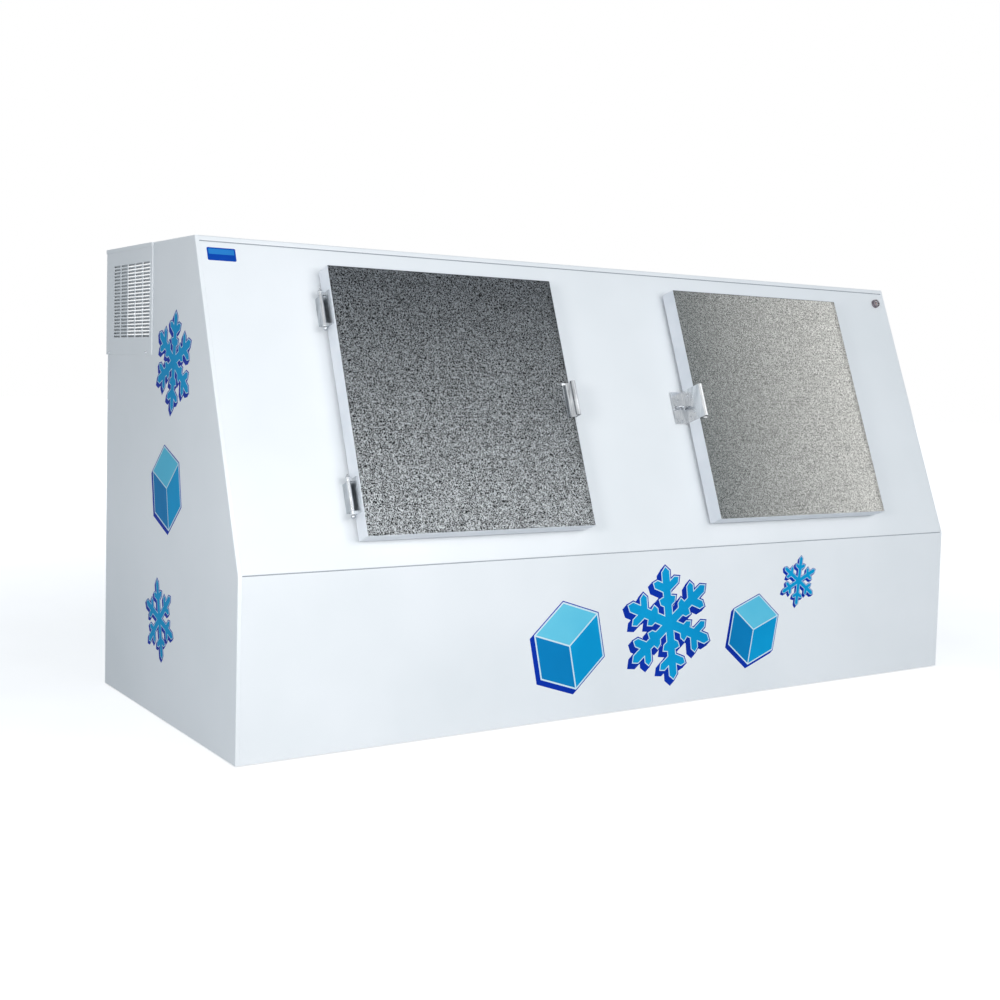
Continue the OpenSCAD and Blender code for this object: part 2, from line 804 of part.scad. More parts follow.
module condenser_coil() {
    tube_r = 4.5;
    pitch = 25;
    rows = floor((condenser_h - 40) / (2 * pitch));
    color(steel) {
        block([coil_x0, coil_y0 + plate_t, bay_floor + fin_inset],
              [coil_x1, coil_y1 - plate_t, bay_floor + condenser_h - fin_inset]);
        for (y = [coil_y0, coil_y1 - plate_t])
            block([coil_x0 - 4, y, bay_floor], [coil_x1 + 2, y + plate_t, bay_floor + condenser_h]);
    }
    color(copper) for (i = [0 : rows - 1])
        translate([coil_x, coil_y0 + 0.2, bay_floor + 38 + i * 2 * pitch])
            rotate([0, 0, -90]) return_bend(pitch / 2, tube_r);
}

// A tube's half-round return bend, in the XZ plane on the side of +X
module return_bend(bend_r, tube_r) {
    rotate([90, -90, 0]) rotate_extrude(angle = 180) translate([bend_r, 0]) circle(r = tube_r);
}

module fan_shroud() {
    color(steel) difference() {
        union() {
            block([shroud_x, coil_y0, bay_floor], [shroud_x + plate_t, coil_y1, bay_floor + condenser_h]);
            rod_x(shroud_x, shroud_x + shroud_l, bay_mid_y, fan_z, fan_r + fan_gap + plate_t);
        }
        rod_x(shroud_x - 1, shroud_x + shroud_l + 1, bay_mid_y, fan_z, fan_r + fan_gap);
    }
}

// A fan about the Z axis with its blades centred on z = 0, and its shaft running up
module fan_wheel(r, blades, shaft_l) {
    pitch_angle = 32;
    difference() {
        union() {
            translate([0, 0, -blade_depth / 2]) cylinder(h = blade_depth, r = hub_r);
            intersection() {
                for (i = [0 : blades - 1])
                    rotate([0, 0, i * 360 / blades])
                        translate([(hub_r + r) / 2 - 3, 0, 0]) rotate([pitch_angle, 0, 0])
                            cube([r - hub_r + 12, r * 0.55, 1.6], center = true);
                cylinder(h = blade_depth * 2, r = r, center = true);
            }
        }
        translate([0, 0, -blade_depth]) cylinder(h = blade_depth - 4, r = hub_r - 4);
    }
    cylinder(h = shaft_l, r = shaft_r);
}

// A motor about the Z axis, from its shaft end upwards, with four arms that reach out past a
// radius and back down beside the fan
module fan_motor(r, l, ring_r, arm_drop) {
    arm_w = 10;
    difference() {
        union() {
            cylinder(h = l, r = r);
            for (a = [45 : 90 : 315]) rotate([0, 0, a]) {
                block([r - 4, -arm_w / 2, 6], [ring_r + 3, arm_w / 2, 9]);
                block([ring_r, -arm_w / 2, -arm_drop], [ring_r + 3, arm_w / 2, 9]);
            }
        }
        translate([0, 0, -1]) cylinder(h = l * 0.6 + 1, r = shaft_r + pin_play);
    }
}

module condenser_fan() {
    color(dark) translate([fan_x + blade_depth / 2, bay_mid_y, fan_z])
        rotate([0, 90, 0]) fan_wheel(fan_r, 5, motor_x - fan_x - blade_depth / 2 + motor_l / 2);
}

module condenser_fan_motor() {
    color(dark) translate([motor_x, bay_mid_y, fan_z]) rotate([0, 90, 0])
        fan_motor(motor_r, motor_l, fan_r + fan_gap + plate_t, motor_x - (shroud_x + plate_t));
}

module refrigerant_lines() {
    shell_y = bay_mid_y + compressor_r;
    discharge_y = bay_mid_y - compressor_r - 24;
    discharge_z = bay_floor + condenser_h + 8;
    suction_z = line_hole_z + line_hole_r - suction_line_r - 2;
    liquid_z = line_hole_z - line_hole_r + liquid_line_r + 2;
    liquid_x = control_x0 - 16;
    back_x = compressor_x + compressor_r + 60;
    bend_y = coil_y0 - 10;
    color(copper) {
        // Discharge line, from the shell to the top of the condenser
        swept([
            [compressor_x, bay_mid_y - compressor_r - line_gap, compressor_z + compressor_h * 0.62],
            [compressor_x, discharge_y, compressor_z + compressor_h * 0.62],
            [compressor_x, discharge_y, discharge_z],
            [coil_x, discharge_y, discharge_z],
            [coil_x, coil_y0 + 30, discharge_z],
            [coil_x, coil_y0 + 30, bay_floor + condenser_h - fin_inset + line_gap]
        ], liquid_line_r, 10);
        // Suction line, from the evaporator back to the shell
        swept([
            [ev_coil_x0 - line_gap, line_hole_y, suction_z],
            [back_x, line_hole_y, suction_z],
            [back_x, shell_y + 30, suction_z],
            [compressor_x, shell_y + 30, suction_z],
            [compressor_x, shell_y + line_gap, suction_z]
        ], suction_line_r, 14);
        // Liquid line, from the foot of the condenser to the drier
        swept([
            [coil_x1 - 10, coil_y0 - line_gap, drier_z],
            [coil_x1 - 10, bend_y, drier_z],
            [drier_x - drier_l / 2 - 30, bend_y, drier_z],
            [drier_x - drier_l / 2 - 30, drier_y, drier_z],
            [drier_x - drier_l / 2 - line_gap, drier_y, drier_z]
        ], liquid_line_r, 8);
        // Liquid line, from the drier through the wall to the evaporator
        swept([
            [drier_x + drier_l / 2 + line_gap, drier_y, drier_z],
            [liquid_x, drier_y, drier_z],
            [liquid_x, line_hole_y, drier_z],
            [liquid_x, line_hole_y, liquid_z],
            [ev_coil_x0 - line_gap, line_hole_y, liquid_z]
        ], liquid_line_r, 14);
        // Filter drier, on its saddle
        translate([drier_x, drier_y, drier_z]) rotate([0, 90, 0]) union() {
            cylinder(h = drier_l, r = liquid_line_r + 2, center = true);
            cylinder(h = drier_l - 24, r = drier_r, center = true);
        }
        block([drier_x - 8, drier_y - 10, bay_floor], [drier_x + 8, drier_y + 10, drier_z - drier_r + 2]);
    }
}

module control_box() {
    color(steel) difference() {
        block([control_x0, bay_y0 + skin_t, control_z0], [control_x1, control_y1, control_z1]);
        rod_y(knob_x, control_y1 - 12, control_y1 + 1, knob_z, shaft_r + pin_play);
    }
}

// Gland that holds the supply cable in the rear of the hood
module cable_gland() {
    flange_t = 3;
    color(dark) difference() {
        union() {
            rod_y(gland_x, hood_y + 8 - gland_l, hood_y + 8, gland_z, gland_r + gland_wall);
            rod_y(gland_x, hood_y, hood_y + flange_t, gland_z, gland_r + gland_wall + 3);
        }
        rod_y(gland_x, hood_y - past, hood_y + past, gland_z, gland_r);
    }
}

module thermostat_knob() {
    knob_r = 16;
    knob_l = 14;
    color(dark) {
        rod_y(knob_x, control_y1 + seal_gap, control_y1 + knob_l, knob_z, knob_r);
        rod_y(knob_x, control_y1 - 10, control_y1 + 1, knob_z, shaft_r);
        block([knob_x - 2, control_y1 + knob_l - 1, knob_z - knob_r + 2],
              [knob_x + 2, control_y1 + knob_l + 4, knob_z + knob_r - 2]);
    }
}

// ---------- evaporator and drain ----------

module evaporator_housing() {
    slots = 10;
    slot_w = 110;
    color(white) difference() {
        block([ev_x0, ev_y0, ev_z0], [ev_x1, ev_y1, ev_z1]);
        block([ev_x0 + housing_t, ev_y0 + housing_t, ev_z0 + housing_t],
              [ev_x1 - housing_t, ev_y1 + 1, ev_z1 - housing_t]);
        rod_y(ev_mid_x, ev_y0 - 1, ev_y0 + housing_t + 1, ev_mid_z, ev_fan_r + fan_gap);
        // Intake slots at both ends of the front
        for (side = [-1, 1], k = [0 : slots - 1])
            translate([ev_mid_x + side * (evaporator_w + slot_w) * 0.29, ev_y0,
                       ev_z0 + 25 + k * (evaporator_h - 50) / (slots - 1)])
                cube([slot_w, 4 * housing_t, 5], center = true);
        rod_x(ev_x0 - 1, ev_x0 + housing_t + 1, line_hole_y, line_hole_z, line_hole_r);
        translate([drain_x, drain_y, ev_z0 - 1]) cylinder(h = housing_t + 2, r = drain_r - drain_wall);
    }
}

module evaporator_coil() {
    end_w = 70;
    end_plate_t = 2;
    color(steel) {
        block([ev_coil_x0, ev_coil_y0, ev_z0 + 12], [ev_x1 - end_w, ev_y1 - 4, ev_z1 - 12]);
        for (x = [ev_coil_x0, ev_x1 - end_w])
            block([x, ev_coil_y0 - 3, ev_z0 + housing_t], [x + end_plate_t, ev_y1, ev_z1 - housing_t]);
    }
}

module evaporator_fan_motor() {
    // The arms stand on the inside of the housing's front
    color(dark) translate([ev_mid_x, ev_motor_y, ev_mid_z]) rotate([-90, 0, 0])
        fan_motor(small_motor_r, small_motor_l, ev_fan_r + fan_gap + 5, ev_motor_y - ev_y0 - housing_t);
}

module evaporator_fan() {
    color(dark) translate([ev_mid_x, ev_fan_y, ev_mid_z]) rotate([-90, 0, 0])
        fan_wheel(ev_fan_r, 4, ev_motor_y - ev_fan_y + small_motor_l / 2);
}

// Wire rings on four spokes, over the fan opening
module evaporator_fan_guard() {
    wire_r = 2;
    outer_r = ev_fan_r + fan_gap + 4;
    color(steel) translate([ev_mid_x, ev_y0 - wire_r - 0.2, ev_mid_z]) rotate([90, 0, 0]) {
        for (share = [0.4, 0.7, 1])
            rotate_extrude() translate([outer_r * share, 0]) circle(r = wire_r, $fn = 16);
        for (a = [45, 135]) rotate([0, 0, a])
            block([-outer_r, -wire_r * 0.8, -wire_r * 0.8], [outer_r, wire_r * 0.8, wire_r * 0.8]);
    }
}

module drain_tube() {
    low = drain_z + drain_bend;
    wall_y = drain_y + drain_bend;
    end_y = y_rear + drain_flange_t + drain_out;
    color(white) difference() {
        union() {
            translate([drain_x, drain_y, low]) cylinder(h = ev_z0 - low, r = drain_r);
            rod_y(drain_x, wall_y, end_y, drain_z, drain_r);
            rod_y(drain_x, y_rear, y_rear + drain_flange_t, drain_z, drain_r + drain_flange_w);
            drain_elbow(drain_r);
        }
        translate([drain_x, drain_y, low - 0.01]) cylinder(h = ev_z0 - low + 1, r = drain_r - drain_wall);
        rod_y(drain_x, wall_y - 0.01, end_y + 1, drain_z, drain_r - drain_wall);
        drain_elbow(drain_r - drain_wall);
    }
}

// A quarter bend from the tube's upright run to its level run
module drain_elbow(r) {
    translate([drain_x, drain_y + drain_bend, drain_z + drain_bend]) rotate([0, -90, 0]) rotate([0, 0, 180])
        rotate_extrude(angle = 90) translate([drain_bend, 0]) circle(r = r);
}

module floor_racks() {
    x1 = x_wall - liner_t - rack_gap;
    y0 = y_front + room_in + rack_gap;
    // The racks stop in front of the drain tube
    y1 = drain_y - drain_r - rack_gap;
    pitch = (y1 - y0 - slat_w) / (rack_slats - 1);
    first_x = rack_gap + 30;
    run_pitch = (x1 - 30 - runner_w - first_x) / (runner_count - 1);
    color(steel) pair() {
        for (k = [0 : rack_slats - 1])
            block([rack_gap, y0 + k * pitch, floor_z + rack_h - slat_t],
                  [x1, y0 + k * pitch + slat_w, floor_z + rack_h]);
        for (k = [0 : runner_count - 1])
            block([first_x + k * run_pitch, y0, floor_z],
                  [first_x + k * run_pitch + runner_w, y1, floor_z + rack_h - slat_t + 1]);
    }
}

// ---------- small parts on the slanted front ----------

module on_dial() {
    on_slant() translate([dial_x, dial_t1, 0]) children();
}

module thermometer_case() {
    color(steel) on_dial() union() {
        difference() {
            union() {
                cylinder(h = dial_h, r = dial_r - 1.5);
                cylinder(h = dial_h / 2, r = dial_r);
            }
            translate([0, 0, dial_floor]) cylinder(h = dial_h, r = dial_r - dial_wall);
        }
        translate([0, 0, dial_floor - 0.5]) cylinder(h = 3.5, r = stud_r);
    }
}

module thermometer_needle() {
    color("firebrick") on_dial() translate([0, 0, dial_floor + 1.4]) difference() {
        union() {
            cylinder(h = 1.2, r = stud_r + 1.6);
            block([-0.7, -5, 0.2], [0.7, needle_l, 1]);
        }
        translate([0, 0, -1]) cylinder(h = 4, r = stud_r + pin_play);
    }
}

module thermometer_lens() {
    color([0.85, 0.9, 0.92]) on_dial() translate([0, 0, dial_h - 2.2])
        cylinder(h = 1.4, r = dial_r - dial_wall - 0.2);
}

module padlock_staples() {
    top_n = staple_plate_t + staple_rise;
    plate_x = leg_x + staple_rod_r + staple_plate_margin;
    sunk = staple_plate_t / 4;
    color(steel) pair() on_slant() translate([staple_x, handle_mid, 0]) {
        block([-plate_x, -staple_plate_l / 2, 0], [plate_x, staple_plate_l / 2, staple_plate_t]);
        for (s = [-1, 1])
            translate([s * leg_x, 0, staple_plate_t - sunk])
                cylinder(h = staple_rise + sunk, r = staple_rod_r);
        translate([0, 0, top_n]) rotate([90, 0, 0])
            rotate_extrude(angle = 180) translate([leg_x, 0]) circle(r = staple_rod_r);
    }
}

// Puts its children at both hinges of the left door, on the hinge axis, which becomes their Z axis
module at_hinges() {
    for (t = hinge_ts)
        on_slant() translate([hinge_x, t, hinge_rise]) rotate([-90, 0, 0]) children();
}

// In the frame of at_hinges(), x is as on the slant, y points into the cabinet and z up the slope
module hinge_plates() {
    web = 3;
    color(steel) pair() at_hinges() difference() {
        union() {
            // Leaf on the cabinet, towards the door and under its edge
            block([-web, hinge_rise - leaf_t, -knuckle_l / 2],
                  [leaf_w - web, hinge_rise, knuckle_l / 2]);
            translate([0, 0, -knuckle_l / 2]) cylinder(h = knuckle_l, r = knuckle_r);
            block([-web, 0, -knuckle_l / 2], [web, hinge_rise - 0.5, knuckle_l / 2]);
        }
        cylinder(h = knuckle_l + 2, r = pin_r + pin_fit, center = true);
    }
}

module hinge_pins() {
    cap_z = hinge_half + knuckle_gap;
    cap_r = knuckle_r - 0.5;
    ball_r = knuckle_r + 0.4;
    color(steel) pair() at_hinges() {
        cylinder(h = 2 * cap_z + 2, r = pin_r, center = true);
        // Acorn finial at the top
        translate([0, 0, cap_z]) cylinder(h = 3, r = cap_r);
        translate([0, 0, cap_z + 3]) cylinder(h = 8, r1 = cap_r, r2 = 1.2);
        // Ball finial at the bottom, cut flat under the knuckle
        translate([0, 0, -cap_z - ball_r * 0.9]) intersection() {
            sphere(r = ball_r);
            translate([0, 0, -ball_r]) cylinder(h = ball_r * 1.9, r = ball_r + 1);
        }
    }
}

// ---------- a door, drawn for the left side ----------

module door_face() {
    color(steel) on_slant() block([door_x0, door_t0, front_n], [door_x1, door_t1, face_n]);
}

module door_edge() {
    color(white) on_slant() {
        difference() {
            block([door_x0, door_t0, back_n], [door_x1, door_t1, front_n]);
            block([door_x0 + edge_t, door_t0 + edge_t, back_n + edge_t],
                  [door_x1 - edge_t, door_t1 - edge_t, front_n + 1]);
            block([door_x0 + edge_flange, door_t0 + edge_flange, back_n - 1],
                  [door_x1 - edge_flange, door_t1 - edge_flange, front_n + 1]);
        }
    }
}

// The plug's outline on the slant, moved in by a wall
module plug_block(wall, n0, n1) {
    block([open_x0 + plug_gap + wall, open_t0 + plug_gap + wall, n0],
          [open_x1 - plug_gap - wall, open_t1 - plug_gap - wall, n1]);
}

module door_core() {
    color(foam) on_slant() union() {
        block([door_x0 + edge_t, door_t0 + edge_t, back_n + edge_t],
              [door_x1 - edge_t, door_t1 - edge_t, front_n]);
        block([door_x0 + edge_flange, door_t0 + edge_flange, back_n],
              [door_x1 - edge_flange, door_t1 - edge_flange, back_n + edge_t + 1]);
        plug_block(inner_t, sheet_n - plug_d + inner_t, back_n + 1);
    }
}

module door_inner_panel() {
    color(white) on_slant() difference() {
        union() {
            block([door_x0 + edge_t, door_t0 + edge_t, sheet_n],
                  [door_x1 - edge_t, door_t1 - edge_t, back_n]);
            plug_block(0, sheet_n - plug_d, back_n);
        }
        plug_block(inner_t, sheet_n - plug_d + inner_t, back_n + 1);
    }
}

module door_gasket() {
    lip = 3;
    color([0.75, 0.76, 0.78]) on_slant() difference() {
        slant_ring(lip + gasket_w, lip, throat_flange_t + seal_gap, sheet_n);
        // The folds on both sides of the bellows
        for (grow = [lip + gasket_w + 1, lip + 2])
            slant_ring(grow, grow - 3, sheet_n - gasket_t * 0.6, sheet_n - gasket_t * 0.4);
    }
}

module door_handle() {
    x0 = door_x1;
    color(steel) on_slant() translate([0, handle_mid, 0]) difference() {
        rotate([90, 0, 0]) linear_extrude(handle_l, center = true) difference() {
            union() {
                // Plate on the door's side, and the hasp flange over the cabinet
                translate([x0, hasp_gap]) square([handle_t, bead_n - hasp_gap]);
                translate([x0, hasp_gap]) square([hasp_w, handle_t]);
                // Flange on the door's face, and its bend up to the bead
                translate([x0 - grip_flange, face_n]) square([grip_flange - bend_r + 1, handle_t]);
                intersection() {
                    translate([x0 - bend_r, face_n + bend_r]) difference() {
                        circle(r = bend_r);
                        circle(r = bend_r - handle_t);
                    }
                    translate([x0 - bend_r, face_n]) square(bend_r);
                }
                translate([bead_x, bead_n]) circle(r = bead_r);
            }
            translate([bead_x, bead_n]) circle(r = bead_r - handle_t);
        }
        block([staple_x - hasp_slot_x, -hasp_slot_t, 0],
              [staple_x + hasp_slot_x, hasp_slot_t, hasp_gap + handle_t + 1]);
    }
}

module door_hinge_leaves() {
    low_n = back_n + 3;
    tab_t = leaf_t + 2;
    color(steel) at_hinges() difference() {
        union() {
            block([hinge_out - leaf_t, hinge_rise - low_n - door_leaf_w, -hinge_half],
                  [hinge_out, hinge_rise - low_n, hinge_half]);
            for (z = [-hinge_half, outer_knuckle_at]) {
                translate([0, 0, z]) cylinder(h = outer_knuckle_l, r = knuckle_r);
                block([0, 1 - knuckle_r, z], [hinge_out, 1 - knuckle_r + tab_t, z + outer_knuckle_l]);
            }
        }
        cylinder(h = 2 * hinge_half + 2, r = pin_r + pin_play, center = true);
    }
}

base_rails();
bottom_panel();
left_side_panel();
right_side_panel();
rear_panel();
roof_panel();
lower_front_panel();
slant_front_panel();
floor_insulation();
left_wall_insulation();
right_wall_insulation();
rear_wall_insulation();
roof_insulation();
front_insulation();
bay_insulation();
storage_liner();
door_throats();
condenser_hood();
hood_lid();
side_grille();
rear_grille();
hood_screws();
bay_pan();
compressor();
compressor_mounts();
condenser_coil();
fan_shroud();
condenser_fan_motor();
condenser_fan();
refrigerant_lines();
cable_gland();
control_box();
thermostat_knob();
evaporator_coil();
evaporator_housing();
evaporator_fan_motor();
evaporator_fan();
evaporator_fan_guard();
drain_tube();
floor_racks();
thermometer_case();
thermometer_needle();
thermometer_lens();
padlock_staples();
hinge_plates();
hinge_pins();
door_face();  // left_door_face
door_edge();  // left_door_edge
door_core();  // left_door_core
door_inner_panel();  // left_door_inner_panel
door_gasket();  // left_door_gasket
door_handle();  // left_door_handle
door_hinge_leaves();  // left_door_hinge_leaves
mirror([1, 0, 0]) door_face();  // right_door_face
mirror([1, 0, 0]) door_edge();  // right_door_edge
mirror([1, 0, 0]) door_core();  // right_door_core
mirror([1, 0, 0]) door_inner_panel();  // right_door_inner_panel
mirror([1, 0, 0]) door_gasket();  // right_door_gasket
mirror([1, 0, 0]) door_handle();  // right_door_handle
mirror([1, 0, 0]) door_hinge_leaves();  // right_door_hinge_leaves
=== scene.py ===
import math

import bpy
from mathutils import Matrix, Vector


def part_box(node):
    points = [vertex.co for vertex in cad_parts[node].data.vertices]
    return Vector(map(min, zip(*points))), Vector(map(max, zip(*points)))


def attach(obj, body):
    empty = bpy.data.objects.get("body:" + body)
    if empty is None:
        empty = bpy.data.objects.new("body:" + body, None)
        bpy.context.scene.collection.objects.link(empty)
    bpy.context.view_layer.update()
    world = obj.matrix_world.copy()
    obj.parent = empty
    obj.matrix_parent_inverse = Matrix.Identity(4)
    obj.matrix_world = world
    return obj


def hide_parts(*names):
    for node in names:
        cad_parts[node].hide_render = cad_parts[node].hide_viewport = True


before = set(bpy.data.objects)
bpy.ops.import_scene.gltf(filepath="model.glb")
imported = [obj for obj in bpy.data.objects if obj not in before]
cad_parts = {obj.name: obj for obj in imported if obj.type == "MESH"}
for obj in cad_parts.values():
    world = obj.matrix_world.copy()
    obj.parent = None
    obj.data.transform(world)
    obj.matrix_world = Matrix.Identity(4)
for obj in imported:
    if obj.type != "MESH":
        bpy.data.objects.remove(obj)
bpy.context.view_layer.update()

# The cabinet as the CAD has it, in metres. On the slanted front, x runs along the cabinet,
# t up the slope from the bend and n out of the face.
cabinet = {
    "side": 1.194,
    "front": -0.466,
    "rear": 0.466,
    "height": 1.206,
    "bendHeight": 0.432,
    "roofDepth": 0.641,
    "lift": 0.003,
    "sheet": 0.0012,
    "lip": 0.013,
    "seam": 0.001,
    "bayEnd": -0.334,
    "bayFront": 0.106,
    "bayFloor": 0.920,
}
slopeRun = cabinet["rear"] - cabinet["front"] - cabinet["roofDepth"]
slopeRise = cabinet["height"] - cabinet["bendHeight"]
slopeLength = math.hypot(slopeRun, slopeRise)
leanSin = slopeRun / slopeLength
leanCos = slopeRise / slopeLength
slantFrame = Matrix((
    (1, 0, 0, 0),
    (0, leanSin, -leanCos, cabinet["front"]),
    (0, leanCos, leanSin, cabinet["bendHeight"]),
    (0, 0, 0, 1),
))

door = {
    "left": -0.886,
    "right": -0.218,
    "low": 0.064,
    "high": slopeLength - 0.079,
    "back": 0.010,
    "face": 0.056,
    "lap": 0.038,
}
doorMiddle = (door["low"] + door["high"]) / 2

# How near a place has to be to count as the same one, for sheets and for small round parts
near = 1e-4
nearer = 1e-5


# ---- small tools ----

def deselectAll():
    if bpy.context.mode != "OBJECT":
        bpy.ops.object.mode_set(mode="OBJECT")
    bpy.ops.object.select_all(action="DESELECT")


def makeActive(piece):
    deselectAll()
    piece.select_set(True)
    bpy.context.view_layer.objects.active = piece


def leaveEdit():
    bpy.ops.object.mode_set(mode="OBJECT")


def editAll(piece):
    makeActive(piece)
    bpy.ops.object.mode_set(mode="EDIT")
    bpy.ops.mesh.select_all(action="SELECT")


def applyPlace(piece):
    makeActive(piece)
    bpy.ops.object.transform_apply(location=True, rotation=True, scale=True)


def placeAt(piece, place):
    piece.matrix_world = place
    applyPlace(piece)


def startBox(name, low, high):
    deselectAll()
    low, high = Vector(low), Vector(high)
    bpy.ops.mesh.primitive_cube_add(size=1, location=(low + high) / 2, scale=high - low)
    piece = bpy.context.object
    piece.name = name
    applyPlace(piece)
    return piece


def startDisc(name, centre, radius, depth, sides=32):
    deselectAll()
    bpy.ops.mesh.primitive_cylinder_add(vertices=sides, radius=radius, depth=depth, location=centre)
    piece = bpy.context.object
    piece.name = name
    applyPlace(piece)
    return piece


# Selects faces or edges by place and direction, and leaves the piece in edit mode
def pick(piece, kind, wanted):
    makeActive(piece)
    bpy.ops.object.mode_set(mode="EDIT")
    bpy.ops.mesh.select_mode(type=kind)
    bpy.ops.mesh.select_all(action="DESELECT")
    leaveEdit()
    mesh = piece.data
    if kind == "FACE":
        for face in mesh.polygons:
            face.select = bool(wanted(face.center, face.normal))
    else:
        for edge in mesh.edges:
            a, b = (mesh.vertices[i].co for i in edge.vertices)
            edge.select = bool(wanted((a + b) / 2, (b - a).normalized()))
    bpy.ops.object.mode_set(mode="EDIT")


def removeFaces(piece, wanted):
    pick(piece, "FACE", wanted)
    bpy.ops.mesh.delete(type="FACE")
    leaveEdit()


def bevelEdges(piece, wanted, radius, steps=3):
    pick(piece, "EDGE", wanted)
    bpy.ops.mesh.bevel(offset=radius, segments=steps, profile=0.5, affect="EDGES")
    leaveEdit()


# Turns every face of a piece outwards
def turnOutwards(piece):
    editAll(piece)
    bpy.ops.mesh.normals_make_consistent(inside=False)
    leaveEdit()


def extrudeBy(x, y, z):
    bpy.ops.mesh.extrude_region_move(TRANSFORM_OT_translate={"value": (x, y, z)})


# Opens the middle of a flat ring and joins its two sides round the hole
def openRing(ring, width):
    pick(ring, "FACE", lambda p, n: abs(n.z) > 0.9)
    bpy.ops.mesh.inset(thickness=width)
    bpy.ops.mesh.bridge_edge_loops()
    leaveEdit()


def cutAt(piece, point, normal, dropOuter=False):
    editAll(piece)
    bpy.ops.mesh.bisect(plane_co=point, plane_no=normal, use_fill=dropOuter, clear_outer=dropOuter)
    leaveEdit()


def applyModifier(piece, kind, **settings):
    makeActive(piece)
    step = piece.modifiers.new(kind.title(), kind)
    for key, value in settings.items():
        setattr(step, key, value)
    bpy.ops.object.modifier_apply(modifier=step.name)


def sheetWall(piece, thickness=cabinet["sheet"]):
    applyModifier(piece, "SOLIDIFY", thickness=thickness, offset=-1, use_even_offset=True)


# Merges doubles, turns the faces outwards, shades the bends and puts the piece on its body
def finishPiece(piece, finishName, body, replaced=(), bendAngle=40, closed=True):
    editAll(piece)
    bpy.ops.mesh.remove_doubles(threshold=1e-6)
    leaveEdit()
    if closed:
        turnOutwards(piece)
    bpy.ops.object.shade_smooth_by_angle(angle=math.radians(bendAngle))
    applyModifier(piece, "WEIGHTED_NORMAL", keep_sharp=True)
    if finishName:
        piece.data.materials.clear()
        piece.data.materials.append(finishes[finishName])
    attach(piece, body)
    if replaced:
        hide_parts(*replaced)


def joinPieces(name, parts):
    deselectAll()
    for part in parts:
        part.select_set(True)
    bpy.context.view_layer.objects.active = parts[0]
    bpy.ops.object.join()
    parts[0].name = name
    return parts[0]


def copyPiece(piece, name, place):
    twin = piece.copy()
    twin.data = piece.data.copy()
    twin.name = name
    bpy.context.scene.collection.objects.link(twin)
    placeAt(twin, place)
    return twin


# A merged copy of a CAD node's mesh, for softer edges and smooth bends
def cadCopy(node, name, radius=0.0, steps=2):
    twin = bpy.data.objects.new(name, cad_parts[node].data.copy())
    bpy.context.scene.collection.objects.link(twin)
    editAll(twin)
    bpy.ops.mesh.remove_doubles(threshold=2e-6)
    bpy.ops.mesh.dissolve_limited(angle_limit=math.radians(0.5))
    leaveEdit()
    if radius:
        applyModifier(twin, "BEVEL", width=radius, segments=steps, limit_method="ANGLE",
                      angle_limit=math.radians(50), use_clamp_overlap=True)
    return twin


# ---- finishes ----

def linear(hexColour):
    channels = [int(hexColour[i:i + 2], 16) / 255 for i in (1, 3, 5)]
    return [c / 12.92 if c <= 0.04045 else ((c + 0.055) / 1.055) ** 2.4 for c in channels] + [1.0]


# Adds a node; a setting is an input's value, by name or number, or else a property of the node
def addNode(tree, kind, settings=None, links=None):
    node = tree.nodes.new("ShaderNode" + kind)
    for key, value in (settings or {}).items():
        if isinstance(key, int) or key in node.inputs:
            node.inputs[key].default_value = value
        else:
            setattr(node, key, value)
    for key, source in (links or {}).items():
        tree.links.new(source, node.inputs[key])
    return node


# A new material with its shader's constants, and the place on the object that patterns read
def startFinish(name, **sockets):
    finish = bpy.data.materials.new(name)
    finish.use_nodes = True
    tree = finish.node_tree
    shader = tree.nodes["Principled BSDF"]
    for key, value in sockets.items():
        shader.inputs[key.replace("_", " ")].default_value = value
    place = addNode(tree, "TexCoord").outputs["Object"]
    return finish, tree, shader, place


# Turns a factor into colours, given as hex or as plain grey shares
def colourStops(tree, factor, stops):
    ramp = addNode(tree, "ValToRGB", links={"Fac": factor})
    while len(ramp.color_ramp.elements) < len(stops):
        ramp.color_ramp.elements.new(0.5)
    for element, (position, colour) in zip(ramp.color_ramp.elements, stops):
        element.position = position
        element.color = linear(colour) if isinstance(colour, str) else [colour] * 3 + [1.0]
    return ramp.outputs["Color"]


# Gives the shader its colour and, if there is a height, its relief
def wire(tree, shader, colour, height=None, strength=0.0, distance=0.0):
    tree.links.new(colour, shader.inputs["Base Color"])
    if height is not None:
        bump = addNode(tree, "Bump", {"Strength": strength, "Distance": distance},
                       {"Height": height})
        tree.links.new(bump.outputs["Normal"], shader.inputs["Normal"])


# Baked enamel on sheet steel: a clean cool white with a slight orange peel of about 3 mm
def bakedEnamel(name):
    finish, tree, shader, place = startFinish(name, Roughness=0.34)
    cloud = addNode(tree, "TexNoise", {"Scale": 2.2, "Detail": 3.0}, {"Vector": place})
    colour = colourStops(tree, cloud.outputs["Fac"], [(0.35, "#EFF1F2"), (0.65, "#F6F7F8")])
    peel = addNode(tree, "TexNoise", {"Scale": 330.0, "Detail": 1.0}, {"Vector": place})
    wire(tree, shader, colour, peel.outputs["Fac"], 0.05, 0.0002)
    return finish


# A Mix node for colours, fully on its second one; its colours are inputs 6 and 7 and its output is 2
colourMix = {"data_type": "RGBA", 0: 1.0}


# Stucco-embossed aluminium: the height of worm-like ridges, which the sheets also use to paint the ridges
# bright as a painted highlight and the hollows darker as painted shade
def stuccoPattern(tree, place, pitch):
    worm = addNode(tree, "TexNoise", {"Scale": 1.0 / pitch, "Detail": 0.6, "Distortion": 0.4},
                   {"Vector": place})
    away = addNode(tree, "Math", {"operation": "SUBTRACT", 1: 0.5}, {0: worm.outputs["Fac"]})
    ridges = addNode(tree, "Math", {"operation": "ABSOLUTE"}, {0: away.outputs["Value"]})
    height = addNode(tree, "MapRange",
                     {"From Min": 0.0, "From Max": 0.12, "To Min": 1.0, "To Max": 0.0},
                     {"Value": ridges.outputs["Value"]})
    return height.outputs["Result"]
